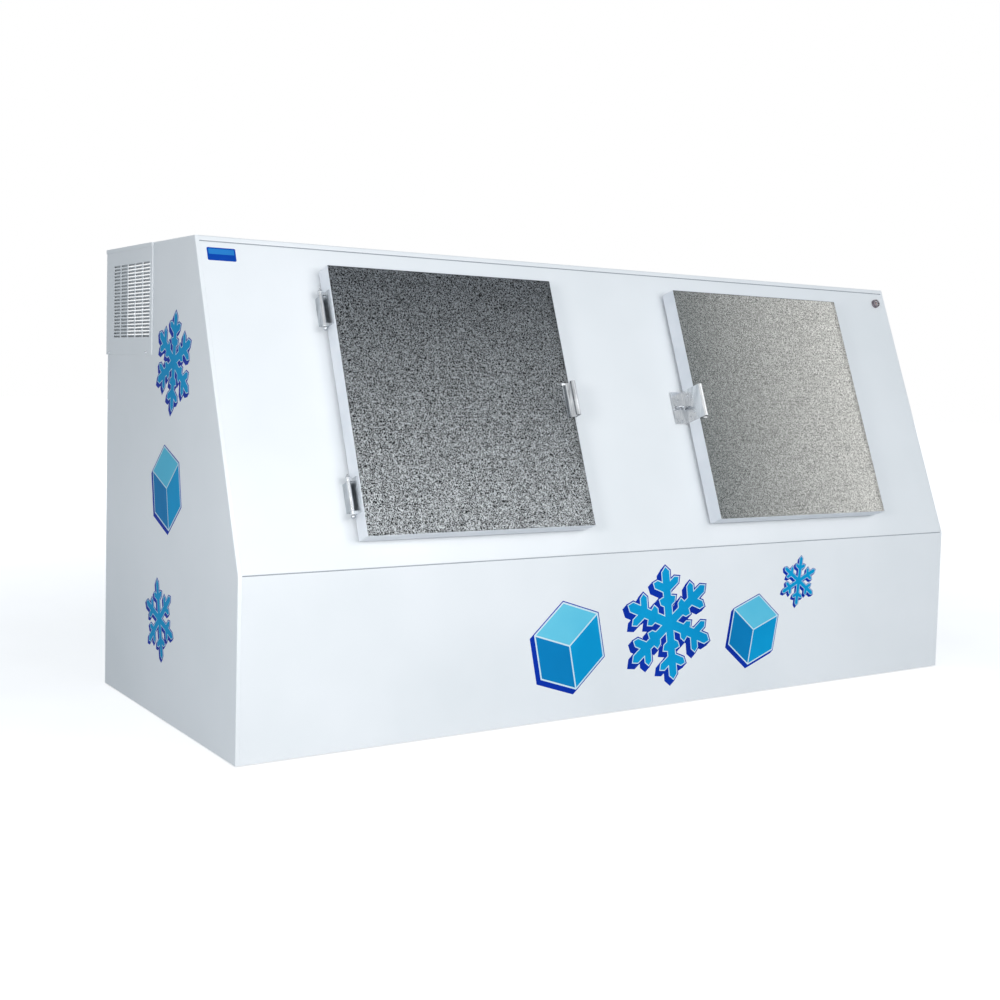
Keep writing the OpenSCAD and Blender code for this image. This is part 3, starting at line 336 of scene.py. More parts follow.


# The liner's stucco sheet, drawn 12 mm coarse so that it shows through the doors, with duller patches; its
# ridges are painted lighter as a painted highlight and its hollows darker as painted shade
def embossedSheet(name, ridge, mid, valley):
    finish, tree, shader, place = startFinish(name, Metallic=0.85, Roughness=0.36)
    height = stuccoPattern(tree, place, 0.012)
    # Painted highlight on the ridges and painted shade in the hollows, from the relief's height
    tone = colourStops(tree, height, [(0.05, valley), (0.5, mid), (0.95, ridge)])
    patch = addNode(tree, "TexNoise", {"Scale": 9.0, "Detail": 3.0, "Roughness": 0.6},
                    {"Vector": place})
    shade = colourStops(tree, patch.outputs["Fac"], [(0.3, 0.80), (0.7, 1.0)])
    colour = addNode(tree, "Mix", {**colourMix, "blend_type": "MULTIPLY"}, {6: tone, 7: shade})
    wire(tree, shader, colour.outputs[2], height, 0.9, 0.0007)
    return finish


# The doors' stucco sheet: ridges about 5 mm apart, painted brighter on top as a painted highlight and
# duller between as painted shade, over a painted reflection that makes one plain change of tone on each
# door, duller to brighter downwards on the left one and to the right on the right one; painted shade also
# darkens a band along each door's right edge and a line along its top edge
doorSheet = {
    "pitch": 0.0039,
    "band": 0.020,
    # Painted shade: these greys darken a band along the door's right edge and a line along its top edge
    "bandPaintedShade": "#E0E0E0",
    "brim": 1.1497,
    "brimPaintedShade": "#A8A8A8",
}


def doorSheetFinish(name, fade, paintedReflectionTones, rightEdge, dull, bright):
    d = doorSheet
    finish, tree, shader, place = startFinish(name, Metallic=0.9, Roughness=0.33)
    parts = addNode(tree, "SeparateXYZ", links={"Vector": place})
    spans = {
        "fade": fade,
        "bandPaintedShade": ("X", rightEdge - d["band"], rightEdge - d["band"] * 0.6),
        "brimPaintedShade": ("Z", d["brim"] - 0.001, d["brim"]),
    }
    share = {}
    for key, (axis, start, end) in spans.items():
        span = addNode(tree, "MapRange", {"From Min": start, "From Max": end},
                       {"Value": parts.outputs[axis]})
        share[key] = span.outputs["Result"]
    # Painted reflection: the broad tone runs from the first given tone to the second along the fade axis
    broad = colourStops(tree, share["fade"], list(enumerate(paintedReflectionTones)))
    # Painted shade multiplied into the tone along the right edge band and the top line
    for key in ("bandPaintedShade", "brimPaintedShade"):
        broad = addNode(tree, "Mix", {**colourMix, "blend_type": "MULTIPLY", 7: linear(d[key])},
                        {0: share[key], 6: broad}).outputs[2]
    height = stuccoPattern(tree, place, d["pitch"])
    # Painted shade in the hollows and painted highlight on the ridges: the tone is scaled by the relief's
    # height
    paintedReliefLight = addNode(tree, "MapRange", {"To Min": dull, "To Max": bright}, {"Value": height})
    toned = addNode(tree, "VectorMath", {"operation": "SCALE"},
                    {0: broad, "Scale": paintedReliefLight.outputs["Result"]})
    wire(tree, shader, toned.outputs["Vector"], height, 0.8, 0.0005)
    return finish


# Hot-dip galvanised sheet: spangles about 14 mm across, each a slightly different grey
def galvanised(name):
    finish, tree, shader, place = startFinish(name, Metallic=1.0, Roughness=0.42)
    spangle = addNode(tree, "TexVoronoi", {"Scale": 70.0}, {"Vector": place})
    wire(tree, shader, colourStops(tree, spangle.outputs["Color"], [(0.2, "#9BA0A4"), (0.8, "#C3C7CA")]))
    return finish


# Stainless sheet with a brushed grain of fine lines along x
def brushedStainless(name):
    finish, tree, shader, place = startFinish(name, Metallic=1.0, Roughness=0.34)
    stretched = addNode(tree, "Mapping", {"Scale": (60.0, 1800.0, 1800.0)}, {"Vector": place})
    grain = addNode(tree, "TexNoise", {"Scale": 1.0, "Detail": 2.0},
                    {"Vector": stretched.outputs["Vector"]})
    colour = colourStops(tree, grain.outputs["Fac"], [(0.3, "#A8ACB1"), (0.7, "#D0D3D7")])
    wire(tree, shader, colour, grain.outputs["Fac"], 0.08, 0.00005)
    return finish


# Bright plated metal with fine wiping marks, which vary its gloss
def chromePlate(name, colour):
    finish, tree, shader, place = startFinish(name, Metallic=1.0, Base_Color=linear(colour))
    wiped = addNode(tree, "TexNoise", {"Scale": 160.0, "Detail": 4.0}, {"Vector": place})
    rough = addNode(tree, "MapRange", {"To Min": 0.06, "To Max": 0.16},
                    {"Value": wiped.outputs["Fac"]})
    tree.links.new(rough.outputs["Result"], shader.inputs["Roughness"])
    return finish


# Bright plated or polished metal: one tone with a fine grain drawn out along the plate; what it mirrors
# comes from the lights
def streakedMetal(name, light, dark, roughness, grainScale=(700.0, 90.0, 12.0)):
    finish, tree, shader, place = startFinish(name, Metallic=1.0, Roughness=roughness)
    stretched = addNode(tree, "Mapping", {"Scale": grainScale}, {"Vector": place})
    grain = addNode(tree, "TexNoise", {"Scale": 1.0, "Detail": 3.0},
                    {"Vector": stretched.outputs["Vector"]})
    colour = colourStops(tree, grain.outputs["Fac"], [(0.3, dark), (0.7, light)])
    wire(tree, shader, colour)
    return finish


# Moulded plastic, rubber or plain paint: nearly one colour, with a fine grain of about 1.2 mm
def moulded(name, light, dark, roughness):
    finish, tree, shader, place = startFinish(name, Roughness=roughness)
    fine = addNode(tree, "TexNoise", {"Scale": 1.0 / 0.0012, "Detail": 2.0}, {"Vector": place})
    broad = addNode(tree, "TexNoise", {"Scale": 14.0, "Detail": 2.0}, {"Vector": place})
    colour = colourStops(tree, broad.outputs["Fac"], [(0.35, dark), (0.65, light)])
    wire(tree, shader, colour, fine.outputs["Fac"], 0.12, 0.00005)
    return finish


# Rigid polyurethane foam: pale yellow closed cells of about 2 mm
def foamFinish(name):
    finish, tree, shader, place = startFinish(name, Roughness=0.85)
    cells = addNode(tree, "TexVoronoi", {"Scale": 480.0}, {"Vector": place})
    colour = colourStops(tree, cells.outputs["Distance"], [(0.1, "#D9C48C"), (0.6, "#F0E2B4")])
    wire(tree, shader, colour, cells.outputs["Distance"], 0.3, 0.0003)
    return finish


# Drawn copper tube, a little tarnished
def copperFinish(name):
    finish, tree, shader, place = startFinish(name, Metallic=1.0, Roughness=0.3)
    tarnish = addNode(tree, "TexNoise", {"Scale": 60.0, "Detail": 4.0}, {"Vector": place})
    wire(tree, shader, colourStops(tree, tarnish.outputs["Fac"], [(0.35, "#8F5436"), (0.65, "#CE8A61")]))
    return finish


# A pack of aluminium fins, drawn 4 mm apart, which is coarser than real, so that they show: bright bands
# for the fins and dark bands of painted shade in the gaps between them
def finPack(name, across):
    finish, tree, shader, place = startFinish(name, Metallic=0.9, Roughness=0.4)
    fins = addNode(tree, "TexWave",
                   {"wave_type": "BANDS", "bands_direction": across, "wave_profile": "SIN", "Scale": 78.5},
                   {"Vector": place})
    # The dark bands are painted shade between the fins
    colour = colourStops(tree, fins.outputs["Fac"], [(0.25, "#2B2E31"), (0.6, "#B9BEC3")])
    wire(tree, shader, colour, fins.outputs["Fac"], 0.6, 0.001)
    return finish


# Clear moulded lens of the dial
def clearLens(name):
    finish, tree, shader, place = startFinish(name, Base_Color=linear("#F4F8FA"), IOR=1.49)
    shader.inputs["Transmission Weight"].default_value = 1.0
    haze = addNode(tree, "TexNoise", {"Scale": 220.0}, {"Vector": place})
    rough = addNode(tree, "MapRange", {"To Min": 0.01, "To Max": 0.05},
                    {"Value": haze.outputs["Fac"]})
    tree.links.new(rough.outputs["Result"], shader.inputs["Roughness"])
    return finish


# Printed self-adhesive vinyl: slightly cloudy ink under a nearly dull film, which keeps it saturated
def vinylFilm(name, light, dark):
    finish, tree, shader, place = startFinish(name, Roughness=0.5, Specular_IOR_Level=0.05)
    ink = addNode(tree, "TexNoise", {"Scale": 7.0, "Detail": 2.0}, {"Vector": place})
    colour = colourStops(tree, ink.outputs["Fac"], [(0.35, dark), (0.65, light)])
    ripple = addNode(tree, "TexNoise", {"Scale": 90.0}, {"Vector": place})
    wire(tree, shader, colour, ripple.outputs["Fac"], 0.04, 0.0002)
    return finish


finishes = {
    "enamel": bakedEnamel("bakedWhiteEnamel"),
    "railPaint": moulded("greyRailPaint", "#8E9194", "#84878A", 0.5),
    # Each door sheet: the axis and span of its painted reflection, the reflection's two tones, the door's
    # right edge for the band of painted shade, and the multipliers of the painted shade in the hollows and
    # the painted highlight on the ridges
    "leftSheet": doorSheetFinish(
        "embossedLeftDoorSheet", ("Z", 1.12, 0.55), ("#505458", "#868A8C"), -0.218, 0.05, 2.26),
    "rightSheet": doorSheetFinish(
        "embossedRightDoorSheet", ("X", 0.22, 0.87), ("#6C7070", "#BCBCB8"), 0.886, 0.48, 1.74),
    "linerSheet": embossedSheet("embossedLinerAluminium", "#D6D9DB", "#BFC3C6", "#979CA0"),
    "galvanised": galvanised("galvanisedSteel"),
    "stainless": brushedStainless("brushedStainless"),
    "hingeSteel": streakedMetal("chromedHinge", "#D4D8DC", "#A8ACB0", 0.25),
    "pinSteel": streakedMetal("chromedPin", "#C8CCD0", "#A0A4A8", 0.2),
    "hingeLeaf": streakedMetal("chromedLeaf", "#D8DCE0", "#B4B8BC", 0.3),
    "gripSteel": streakedMetal("polishedGripSteel", "#D4D8DC", "#8C9094", 0.2, (170.0, 40.0, 5.0)),
    "latchSteel": streakedMetal("polishedLatchSteel", "#E4E6E8", "#C0C4C8", 0.2),
    "bezelMetal": chromePlate("dullDialBezel", "#827A80"),
    "louvreLip": chromePlate("brightLouvreLip", "#FAFBFC"),
    "pvc": moulded("whitePvc", "#F0F2F6", "#E7EAEF", 0.38),
    "nylon": moulded("whiteNylon", "#F4F5F6", "#E9EBEC", 0.45),
    "blackPlastic": moulded("blackMouldedPlastic", "#1D1E20", "#141516", 0.45),
    "redPaint": moulded("redNeedlePaint", "#C0261C", "#A51D15", 0.35),
    "foam": foamFinish("polyurethaneFoam"),
    "gasket": moulded("greyGasketVinyl", "#B9BCC1", "#A9ACB2", 0.55),
    "sealant": moulded("greySealant", "#A3A7AD", "#999DA4", 0.7),
    "mountRubber": moulded("blackMountRubber", "#202122", "#161717", 0.75),
    "copper": copperFinish("drawnCopper"),
    "condenserFins": finPack("condenserFins", "Y"),
    "evaporatorFins": finPack("evaporatorFins", "X"),
    "blackEnamel": moulded("blackShellEnamel", "#17181A", "#0F1011", 0.28),
    "lens": clearLens("clearDialLens"),
    "dialCard": moulded("paleDialCard", "#D9D2D6", "#CEC7CC", 0.6),
    "dialInk": moulded("blackDialInk", "#16181B", "#101114", 0.5),
    "deepBlue": vinylFilm("deepBlueVinyl", "#0A36AE", "#0A2E9E"),
    "labelBlue": vinylFilm("labelBlueVinyl", "#0E4CB4", "#0C46A8"),
    "labelSky": vinylFilm("labelSkyVinyl", "#2F86D0", "#2A7DC6"),
    "skyBlue": vinylFilm("skyBlueVinyl", "#0CA4DC", "#0899D2"),
    "midSky": vinylFilm("midSkyVinyl", "#0A86C4", "#0780BC"),
    "paleSky": vinylFilm("paleSkyVinyl", "#6FD2EC", "#62CAE8"),
    "iceBlue": vinylFilm("iceBlueVinyl", "#DDF1F8", "#CDEAF5"),
}
print("finishes ready:", len(finishes))

cadFinishes = {
    "enamel": ["side_grille", "rear_grille", "evaporator_housing"],
    "railPaint": ["base_rails"],
    "galvanised": ["bottom_panel", "bay_pan", "fan_shroud", "control_box"],
    "linerSheet": ["storage_liner", "floor_racks"],
    "foam": ["floor_insulation", "left_wall_insulation", "right_wall_insulation",
             "rear_wall_insulation", "roof_insulation", "front_insulation", "bay_insulation",
             "left_door_core", "right_door_core"],
    "pvc": ["door_throats", "left_door_inner_panel", "right_door_inner_panel", "drain_tube"],
    "stainless": ["evaporator_fan_guard"],
    "gasket": ["left_door_gasket", "right_door_gasket"],
    "mountRubber": ["compressor_mounts"],
    "copper": ["refrigerant_lines"],
    "condenserFins": ["condenser_coil"],
    "evaporatorFins": ["evaporator_coil"],
    "blackEnamel": ["compressor", "condenser_fan_motor", "evaporator_fan_motor"],
    "blackPlastic": ["condenser_fan", "evaporator_fan", "thermostat_knob", "cable_gland"],
    "redPaint": ["thermometer_needle"],
    "lens": ["thermometer_lens"],
}
for finishName, nodeNames in cadFinishes.items():
    for nodeName in nodeNames:
        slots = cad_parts[nodeName].data.materials
        for i in range(len(slots)):
            slots[i] = finishes[finishName]
print("CAD nodes finished:", sum(len(names) for names in cadFinishes.values()))


# ---- outer panels, folded from sheet ----

shell = {
    "flange": 0.010,
    "gap": 0.0002,
    "bend": 0.0028,
    "fold": 0.008,
    "hoodGap": 0.0005,
    "bayGap": 0.001,
}


def finishPanel(piece, node):
    finishPiece(piece, "enamel", "cabinet", [node])


def makeSidePanel(name, sign, node, hasHood):
    c = cabinet
    outer = sign * c["side"]
    inner = sign * (c["side"] - shell["flange"])
    low = (min(outer, inner), c["front"], c["lift"])
    high = (max(outer, inner), c["rear"], c["height"])
    piece = startBox(name, low, high)
    cutAt(piece, (0, c["front"], c["bendHeight"]), (0, -leanCos, leanSin), dropOuter=True)
    if hasHood:
        frontCut, floorCut = c["bayFront"] + shell["hoodGap"], c["bayFloor"] + shell["bayGap"]
        cutAt(piece, (0, frontCut, 0), (0, 1, 0))
        cutAt(piece, (0, 0, floorCut), (0, 0, 1))
        removeFaces(piece, lambda p, n: p.y > frontCut and p.z > floorCut)
    removeFaces(piece, lambda p, n: n.x * sign < -0.9 or n.z < -0.9)
    bevelEdges(piece, lambda p, d: abs(p.x - outer) < nearer and abs(d.x) < 0.1 and (
        p.y < c["front"] + near and abs(d.z) > 0.9 or p.y > c["rear"] - near and abs(d.z) > 0.9
        or p.z > c["height"] - near or 0.2 < d.y / (d.z or 1) < 0.6), shell["bend"])
    sheetWall(piece)
    finishPanel(piece, node)


makeSidePanel("leftSidePanel", -1, "left_side_panel", True)
makeSidePanel("rightSidePanel", 1, "right_side_panel", False)

sheetEnd = cabinet["side"] - shell["flange"] - shell["gap"]


def makeLowerFront():
    c = cabinet
    piece = startBox("lowerFrontPanel", (-sheetEnd, c["front"], c["lift"]),
                     (sheetEnd, c["front"] + shell["fold"], c["bendHeight"] - c["seam"] / 2))
    removeFaces(piece, lambda p, n: n.y > 0.9 or n.z < -0.9 or abs(n.x) > 0.9)
    bevelEdges(piece, lambda p, d: abs(d.x) > 0.9 and p.z > c["bendHeight"] / 2 and p.y < c["front"] + near,
               shell["bend"])
    sheetWall(piece)
    finishPanel(piece, "lower_front_panel")


makeLowerFront()


def makeSlantFront():
    c = cabinet
    low, high = c["seam"] / 2, slopeLength - c["lip"] - c["seam"]
    piece = startBox("slantFrontPanel", (-sheetEnd, low, -shell["fold"]), (sheetEnd, high, 0))
    removeFaces(piece, lambda p, n: n.z < -0.9 or abs(n.x) > 0.9)
    nearX, farX = door["left"] + door["lap"], door["right"] - door["lap"]
    nearT, farT = door["low"] + door["lap"], door["high"] - door["lap"]
    for x in (nearX, farX, -nearX, -farX):
        cutAt(piece, (x, 0, 0), (1, 0, 0))
    for t in (nearT, farT):
        cutAt(piece, (0, t, 0), (0, 1, 0))
    removeFaces(piece, lambda p, n: nearX < -abs(p.x) < farX and nearT < p.y < farT)
    bevelEdges(piece, lambda p, d: abs(d.x) > 0.9 and p.z > -near and not low + near < p.y < high - near,
               shell["bend"])
    sheetWall(piece)
    placeAt(piece, slantFrame)
    finishPanel(piece, "slant_front_panel")


makeSlantFront()


def makeRoof():
    c = cabinet
    roofFront = c["rear"] - c["roofDepth"]
    deselectAll()
    bpy.ops.mesh.primitive_plane_add(size=1, location=(0, (roofFront + c["rear"]) / 2, c["height"]))
    piece = bpy.context.object
    piece.name = "roofPanel"
    piece.scale = (2 * sheetEnd, c["roofDepth"], 1)
    applyPlace(piece)
    pick(piece, "EDGE", lambda p, d: abs(d.x) > 0.9 and p.y < roofFront + near)
    extrudeBy(0, -leanSin * c["lip"], -leanCos * c["lip"])
    extrudeBy(0, leanCos * shell["fold"], -leanSin * shell["fold"])
    pick(piece, "EDGE", lambda p, d: abs(d.x) > 0.9 and p.y > c["rear"] - near)
    extrudeBy(0, 0, -shell["fold"])
    leaveEdit()
    lipY, lipZ = roofFront - leanSin * c["lip"], c["height"] - leanCos * c["lip"]
    bevelEdges(piece, lambda p, d: abs(d.x) > 0.9 and (
        p.z > c["height"] - near or (abs(p.y - lipY) < near and abs(p.z - lipZ) < near)), shell["bend"])
    cutAt(piece, (c["bayEnd"], 0, 0), (1, 0, 0))
    cutAt(piece, (0, c["bayFront"], 0), (0, 1, 0))
    removeFaces(piece, lambda p, n: p.x < c["bayEnd"] and p.y > c["bayFront"])
    turnOutwards(piece)
    top = max(piece.data.polygons, key=lambda f: f.area)
    if top.normal.z < 0:
        piece.data.flip_normals()
    sheetWall(piece)
    finishPanel(piece, "roof_panel")


makeRoof()


def makeRear():
    c = cabinet
    piece = startBox("rearPanel", (-sheetEnd, c["rear"] - shell["fold"], c["lift"]),
                     (sheetEnd, c["rear"], c["height"] - shell["fold"] / 4))
    sideCut, floorCut = c["bayEnd"] - shell["bayGap"], c["bayFloor"] + shell["bayGap"]
    cutAt(piece, (sideCut, 0, 0), (1, 0, 0))
    cutAt(piece, (0, 0, floorCut), (0, 0, 1))
    removeFaces(piece, lambda p, n: n.y < -0.9 or abs(n.z) > 0.9 or abs(n.x) > 0.9
                or (p.x < sideCut and p.z > floorCut))
    sheetWall(piece)
    finishPanel(piece, "rear_panel")


makeRear()


# Grey sealant in the seams at the bend and under the roof's lip
def makeSealant():
    bead = {"half": 0.0011, "top": -0.0004, "low": -0.0075, "round": 0.0003}
    beads = []
    for t in (0, slopeLength - cabinet["lip"] - cabinet["seam"] / 2):
        strip = startBox("sealant", (-sheetEnd, t - bead["half"], bead["low"]),
                         (sheetEnd, t + bead["half"], bead["top"]))
        bevelEdges(strip, lambda p, d: abs(d.x) > 0.9 and p.z > bead["top"] - nearer, bead["round"], 2)
        placeAt(strip, slantFrame)
        beads.append(strip)
    finishPiece(joinPieces("seamSealant", beads), "sealant", "cabinet", ())


makeSealant()
print("outer panels folded")


# ---- hood over the machine bay ----

hoodLow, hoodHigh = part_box("condenser_hood")
lidLow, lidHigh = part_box("hood_lid")
hood = {
    "side": hoodLow.x,
    "rear": hoodHigh.y,
    "lidSide": lidLow.x,
    "lidRear": lidHigh.y,
    "lidRim": 0.011,
    "grilleLow": 0.9639,
    "grilleHigh": 1.162,
    "sideGrille": (0.118, 0.408),
    "rearGrille": (-0.822, -0.358),
    "bend": 0.0012,
    "screwHead": 0.0042,
    "screwHeight": 0.002,
    "screwEdge": 0.0065,
    "sideScrews": (cabinet["bayFront"] + 0.040, cabinet["rear"] - 0.020),
    "rearScrews": (-1.134, -0.764, -0.394),
    "endScrews": (0.35, 0.7),
}
louvreLip = {
    "face": -1.1980,
    "thick": 0.0012,
    "columns": 3,
    "bars": 21,
    "first": 0.147,
    "columnPitch": 0.058,
    "low": 0.97395,
    "rowPitch": 0.0089,
    "length": 0.052,
    "height": 0.0030,
    "round": 0.00096,
}


def makeHood():
    c, h = cabinet, hood
    top = c["height"] - c["sheet"]
    piece = startBox("condenserHood", (h["side"], c["bayFront"], c["bayFloor"]),
                     (c["bayEnd"], h["rear"], top))
    cutAt(piece, (-c["side"], 0, 0), (1, 0, 0))
    cutAt(piece, (0, c["rear"], 0), (0, 1, 0))
    removeFaces(piece, lambda p, n: n.z > 0.9
                or (n.y < -0.9 and p.x > -c["side"])
                or (n.x > 0.9 and p.y < c["rear"])
                or (n.z < -0.9 and p.x > -c["side"] and p.y < c["rear"]))
    for y in h["sideGrille"]:
        cutAt(piece, (0, y, 0), (0, 1, 0))
    for x in h["rearGrille"]:
        cutAt(piece, (x, 0, 0), (1, 0, 0))
    for z in (h["grilleLow"], h["grilleHigh"]):
        cutAt(piece, (0, 0, z), (0, 0, 1))
    removeFaces(piece, lambda p, n: h["grilleLow"] < p.z < h["grilleHigh"] and (
        (n.x < -0.9 and h["sideGrille"][0] < p.y < h["sideGrille"][1])
        or (n.y > 0.9 and h["rearGrille"][0] < p.x < h["rearGrille"][1])))
    corners = [(h["side"], c["bayFront"]), (h["side"], h["rear"]), (c["bayEnd"], h["rear"])]
    bevelEdges(piece, lambda p, d: (abs(d.z) > 0.9 and any(
        abs(p.x - x) < near and abs(p.y - y) < near for x, y in corners))
        or (abs(d.z) < 0.1 and p.z < c["bayFloor"] + near and (
            abs(p.x - h["side"]) < near or abs(p.y - h["rear"]) < near)), h["bend"])
    sheetWall(piece)
    finishPanel(piece, "condenser_hood")


def makeLid():
    c, h = cabinet, hood
    start = (h["lidSide"], c["bayFront"] + c["seam"], c["height"] - h["lidRim"])
    piece = startBox("hoodLid", start, (c["bayEnd"] - c["seam"], h["lidRear"], c["height"]))
    removeFaces(piece, lambda p, n: n.z < -0.9 or n.y < -0.9 or n.x > 0.9)
    top = c["height"] - near
    bevelEdges(piece, lambda p, d: p.x < h["lidSide"] + near and (
        abs(d.y) > 0.9 and p.z > top or p.y > h["lidRear"] - near)
               or (abs(d.x) > 0.9 and p.y > h["lidRear"] - near and p.z > top), h["bend"])
    sheetWall(piece)
    finishPanel(piece, "hood_lid")


makeHood()
makeLid()


# Bright rolled lips between the louvre slots of the columns nearest the front
def makeLouvreLips():
    v = louvreLip
    parts = []
    for column in range(v["columns"]):
        for bar in range(v["bars"]):
            y = v["first"] + column * v["columnPitch"]
            z = v["low"] + bar * v["rowPitch"]
            lip = startBox("lip", (v["face"], y - v["length"] / 2, z - v["height"] / 2),
                           (v["face"] + v["thick"], y + v["length"] / 2, z + v["height"] / 2))
            bevelEdges(lip, lambda p, d: abs(d.y) > 0.9 and p.x < v["face"] + nearer, v["round"], 2)
            parts.append(lip)
    finishPiece(joinPieces("louvreLips", parts), "louvreLip", "cabinet", ())


makeLouvreLips()


# A pan-head screw with a round socket, standing on the XY plane
def makeScrew(name, radius, height):
    piece = startDisc(name, (0, 0, height / 2), radius, height, 20)
    bevelEdges(piece, lambda p, d: p.z > height * 0.9 and abs(d.z) < 0.1, height * 0.55)
    pick(piece, "FACE", lambda p, n: n.z > 0.9 and p.z > height * 0.9)
    bpy.ops.mesh.inset(thickness=radius * 0.12)
    extrudeBy(0, 0, -height * 0.3)
    leaveEdit()
    return piece


screwMaster = makeScrew("screwMaster", hood["screwHead"], hood["screwHeight"])


# Where a piece made on the XY plane goes, looking in a direction from a place
def facing(direction, origin):
    turn = Vector((0, 0, 1)).rotation_difference(Vector(direction)).to_matrix().to_4x4()
    return Matrix.Translation(Vector(origin)) @ turn


def makeHoodScrews():
    c, h = cabinet, hood
    lowZ = c["bayFloor"] + h["screwEdge"]
    places = [((-1, 0, 0), (h["side"], y, lowZ)) for y in h["sideScrews"]]
    places += [((0, 1, 0), (x, h["rear"], lowZ)) for x in h["rearScrews"]]
    places += [((0, 1, 0), (c["bayEnd"] - h["screwEdge"], h["rear"],
                            c["bayFloor"] + (c["height"] - c["bayFloor"]) * share))
               for share in h["endScrews"]]
    parts = [copyPiece(screwMaster, f"hoodScrew{i}", facing(*place)) for i, place in enumerate(places)]
    piece = joinPieces("hoodScrews", parts)
    finishPiece(piece, "stainless", "cabinet", ["hood_screws"])


makeHoodScrews()
print("hood made")


# ---- doors ----

doorLook = {
    "rim": 0.0012,
    "recess": 0.0014,
    "corner": 0.0022,
    "rimRound": 0.0004,
    "skin": 0.0010,
    "skinGap": 0.0002,
    "skinCorner": 0.00154,
    "skinRound": 0.0003,
}


def mirrored(piece):
    placeAt(piece, Matrix.Diagonal((-1, 1, 1, 1)))
    turnOutwards(piece)


# Every door piece is made as the left door's and mirrored for the right one
def finishDoorPart(piece, side, finishName, part):
    if side == "right":
        mirrored(piece)
    placeAt(piece, slantFrame)
    finishPiece(piece, finishName, side + "_door", [side + "_door_" + part])


# White edge frame with a narrow rim round the embossed sheet
def makeDoorFrame(side):
    d, look = door, doorLook
    piece = startBox(side + "DoorFrame", (d["left"], d["low"], d["back"]),
                     (d["right"], d["high"], d["face"]))
    bevelEdges(piece, lambda p, e: abs(e.z) > 0.9, look["corner"])
    pick(piece, "FACE", lambda p, n: n.z > 0.9)
    bpy.ops.mesh.inset(thickness=look["rim"])
    extrudeBy(0, 0, -look["recess"])
    leaveEdit()
    bevelEdges(piece, lambda p, e: p.z > d["face"] - nearer and abs(e.z) < 0.1, look["rimRound"], 2)
    finishDoorPart(piece, side, "pvc", "edge")


def makeDoorSkin(side):
    d, look = door, doorLook
    inset = look["rim"] + look["skinGap"]
    top = d["face"] - look["recess"] + look["skin"]
    piece = startBox(side + "DoorSkin", (d["left"] + inset, d["low"] + inset, d["face"] - look["recess"]),
                     (d["right"] - inset, d["high"] - inset, top))
    bevelEdges(piece, lambda p, e: abs(e.z) > 0.9, look["skinCorner"])
    bevelEdges(piece, lambda p, e: p.z > top - nearer and abs(e.z) < 0.1, look["skinRound"], 2)
    finishDoorPart(piece, side, side + "Sheet", "face")


for side in ("left", "right"):
    makeDoorFrame(side)
    makeDoorSkin(side)
print("doors made")


# ---- hinges, handles and staples ----

hinge = {
    "out": 0.014,
    "rise": 0.026,
    "inset": 0.106,
    "half": 0.0433,
    "washerInner": 0.0051,
    "washerOuter": 0.0062,
    "washerHeight": 0.0016,
    "washerGap": 0.0003,
}
# Each screw of a handle: how far up the slope from the door's middle, and how far out of the slant
handle = {"web": 0.002, "screws": ((0.030, 0.026), (0.020, 0.043), (-0.020, 0.043), (-0.034, 0.026))}

for node, name, radius, finishName, body, slot in (
    ("left_door_handle", "leftHandle", 0.0003, "gripSteel", "left_door", "stainless"),
    ("left_door_hinge_leaves", "leftHingeLeaves", 0.0003, "hingeLeaf", "left_door", "polished_chrome"),
    ("right_door_handle", "rightHandle", 0.0003, "latchSteel", "right_door", "stainless"),
    ("right_door_hinge_leaves", "rightHingeLeaves", 0.0003, "hingeLeaf", "right_door", "polished_chrome"),
    ("hinge_plates", "hingePlates", 0.0003, "hingeSteel", "cabinet", "polished_chrome"),
    ("hinge_pins", "hingePins", 0.0, "pinSteel", "cabinet", "polished_chrome"),
    ("padlock_staples", "padlockStaples", 0.0003, "stainless", "cabinet", "stainless"),
    ("thermometer_case", "thermometerCase", 0.0004, "bezelMetal", "cabinet", "polished_chrome"),
):
    piece = cadCopy(node, name, radius)
    finishPiece(piece, finishName, body, [node], 35)


# White washers between the finials and the knuckles
def makeWashers():
    h = hinge
    reach = h["half"] + h["washerGap"] + h["washerHeight"] / 2
    parts = []
    for sign in (-1, 1):
        for t in (door["low"] + h["inset"], door["high"] - h["inset"]):
            for end in (-1, 1):
                place = (sign * (door["left"] - h["out"]), t + end * reach, h["rise"])
                ring = startDisc("washer", (0, 0, 0), h["washerOuter"], h["washerHeight"])
                openRing(ring, h["washerOuter"] - h["washerInner"])
                placeAt(ring, slantFrame @ facing((0, 1, 0), place))
                parts.append(ring)
    finishPiece(joinPieces("hingeWashers", parts), "nylon", "cabinet", ())


makeWashers()


def makeHandleScrews(side, sign):
    outward = sign * (door["right"] + handle["web"])
    parts = []
    for i, (row, n) in enumerate(handle["screws"]):
        place = slantFrame @ facing((sign, 0, 0), (outward, doorMiddle + row, n))
        parts.append(copyPiece(screwMaster, f"{side}HandleScrew{i}", place))
    piece = joinPieces(side + "HandleScrews", parts)
    finishPiece(piece, "stainless", side + "_door", ())


makeHandleScrews("left", 1)
makeHandleScrews("right", -1)
print("hardware made")


# ---- dial of the thermometer ----

dial = {
    "x": 1.143,
    "t": slopeLength - 0.051,
    "floor": 0.004,
    "card": 0.0006,
    "radius": 0.0098,
    "hole": 0.0014,
    "start": -120,
    "tickStep": 10,
    "ticks": 25,
    "tickMargin": 0.0005,
    "tickWidth": 0.00028,
    "tickHeight": 0.00008,
    "longTick": 0.0020,
    "shortTick": 0.0011,
    "numbers": ("-40", "-30", "-20", "-10", "0", "10", "20"),
    "numberStep": 40,
    "numberSize": 0.0024,
    "numberMargin": 0.0040,
}
dialFrame = slantFrame @ Matrix.Translation((dial["x"], dial["t"], 0))


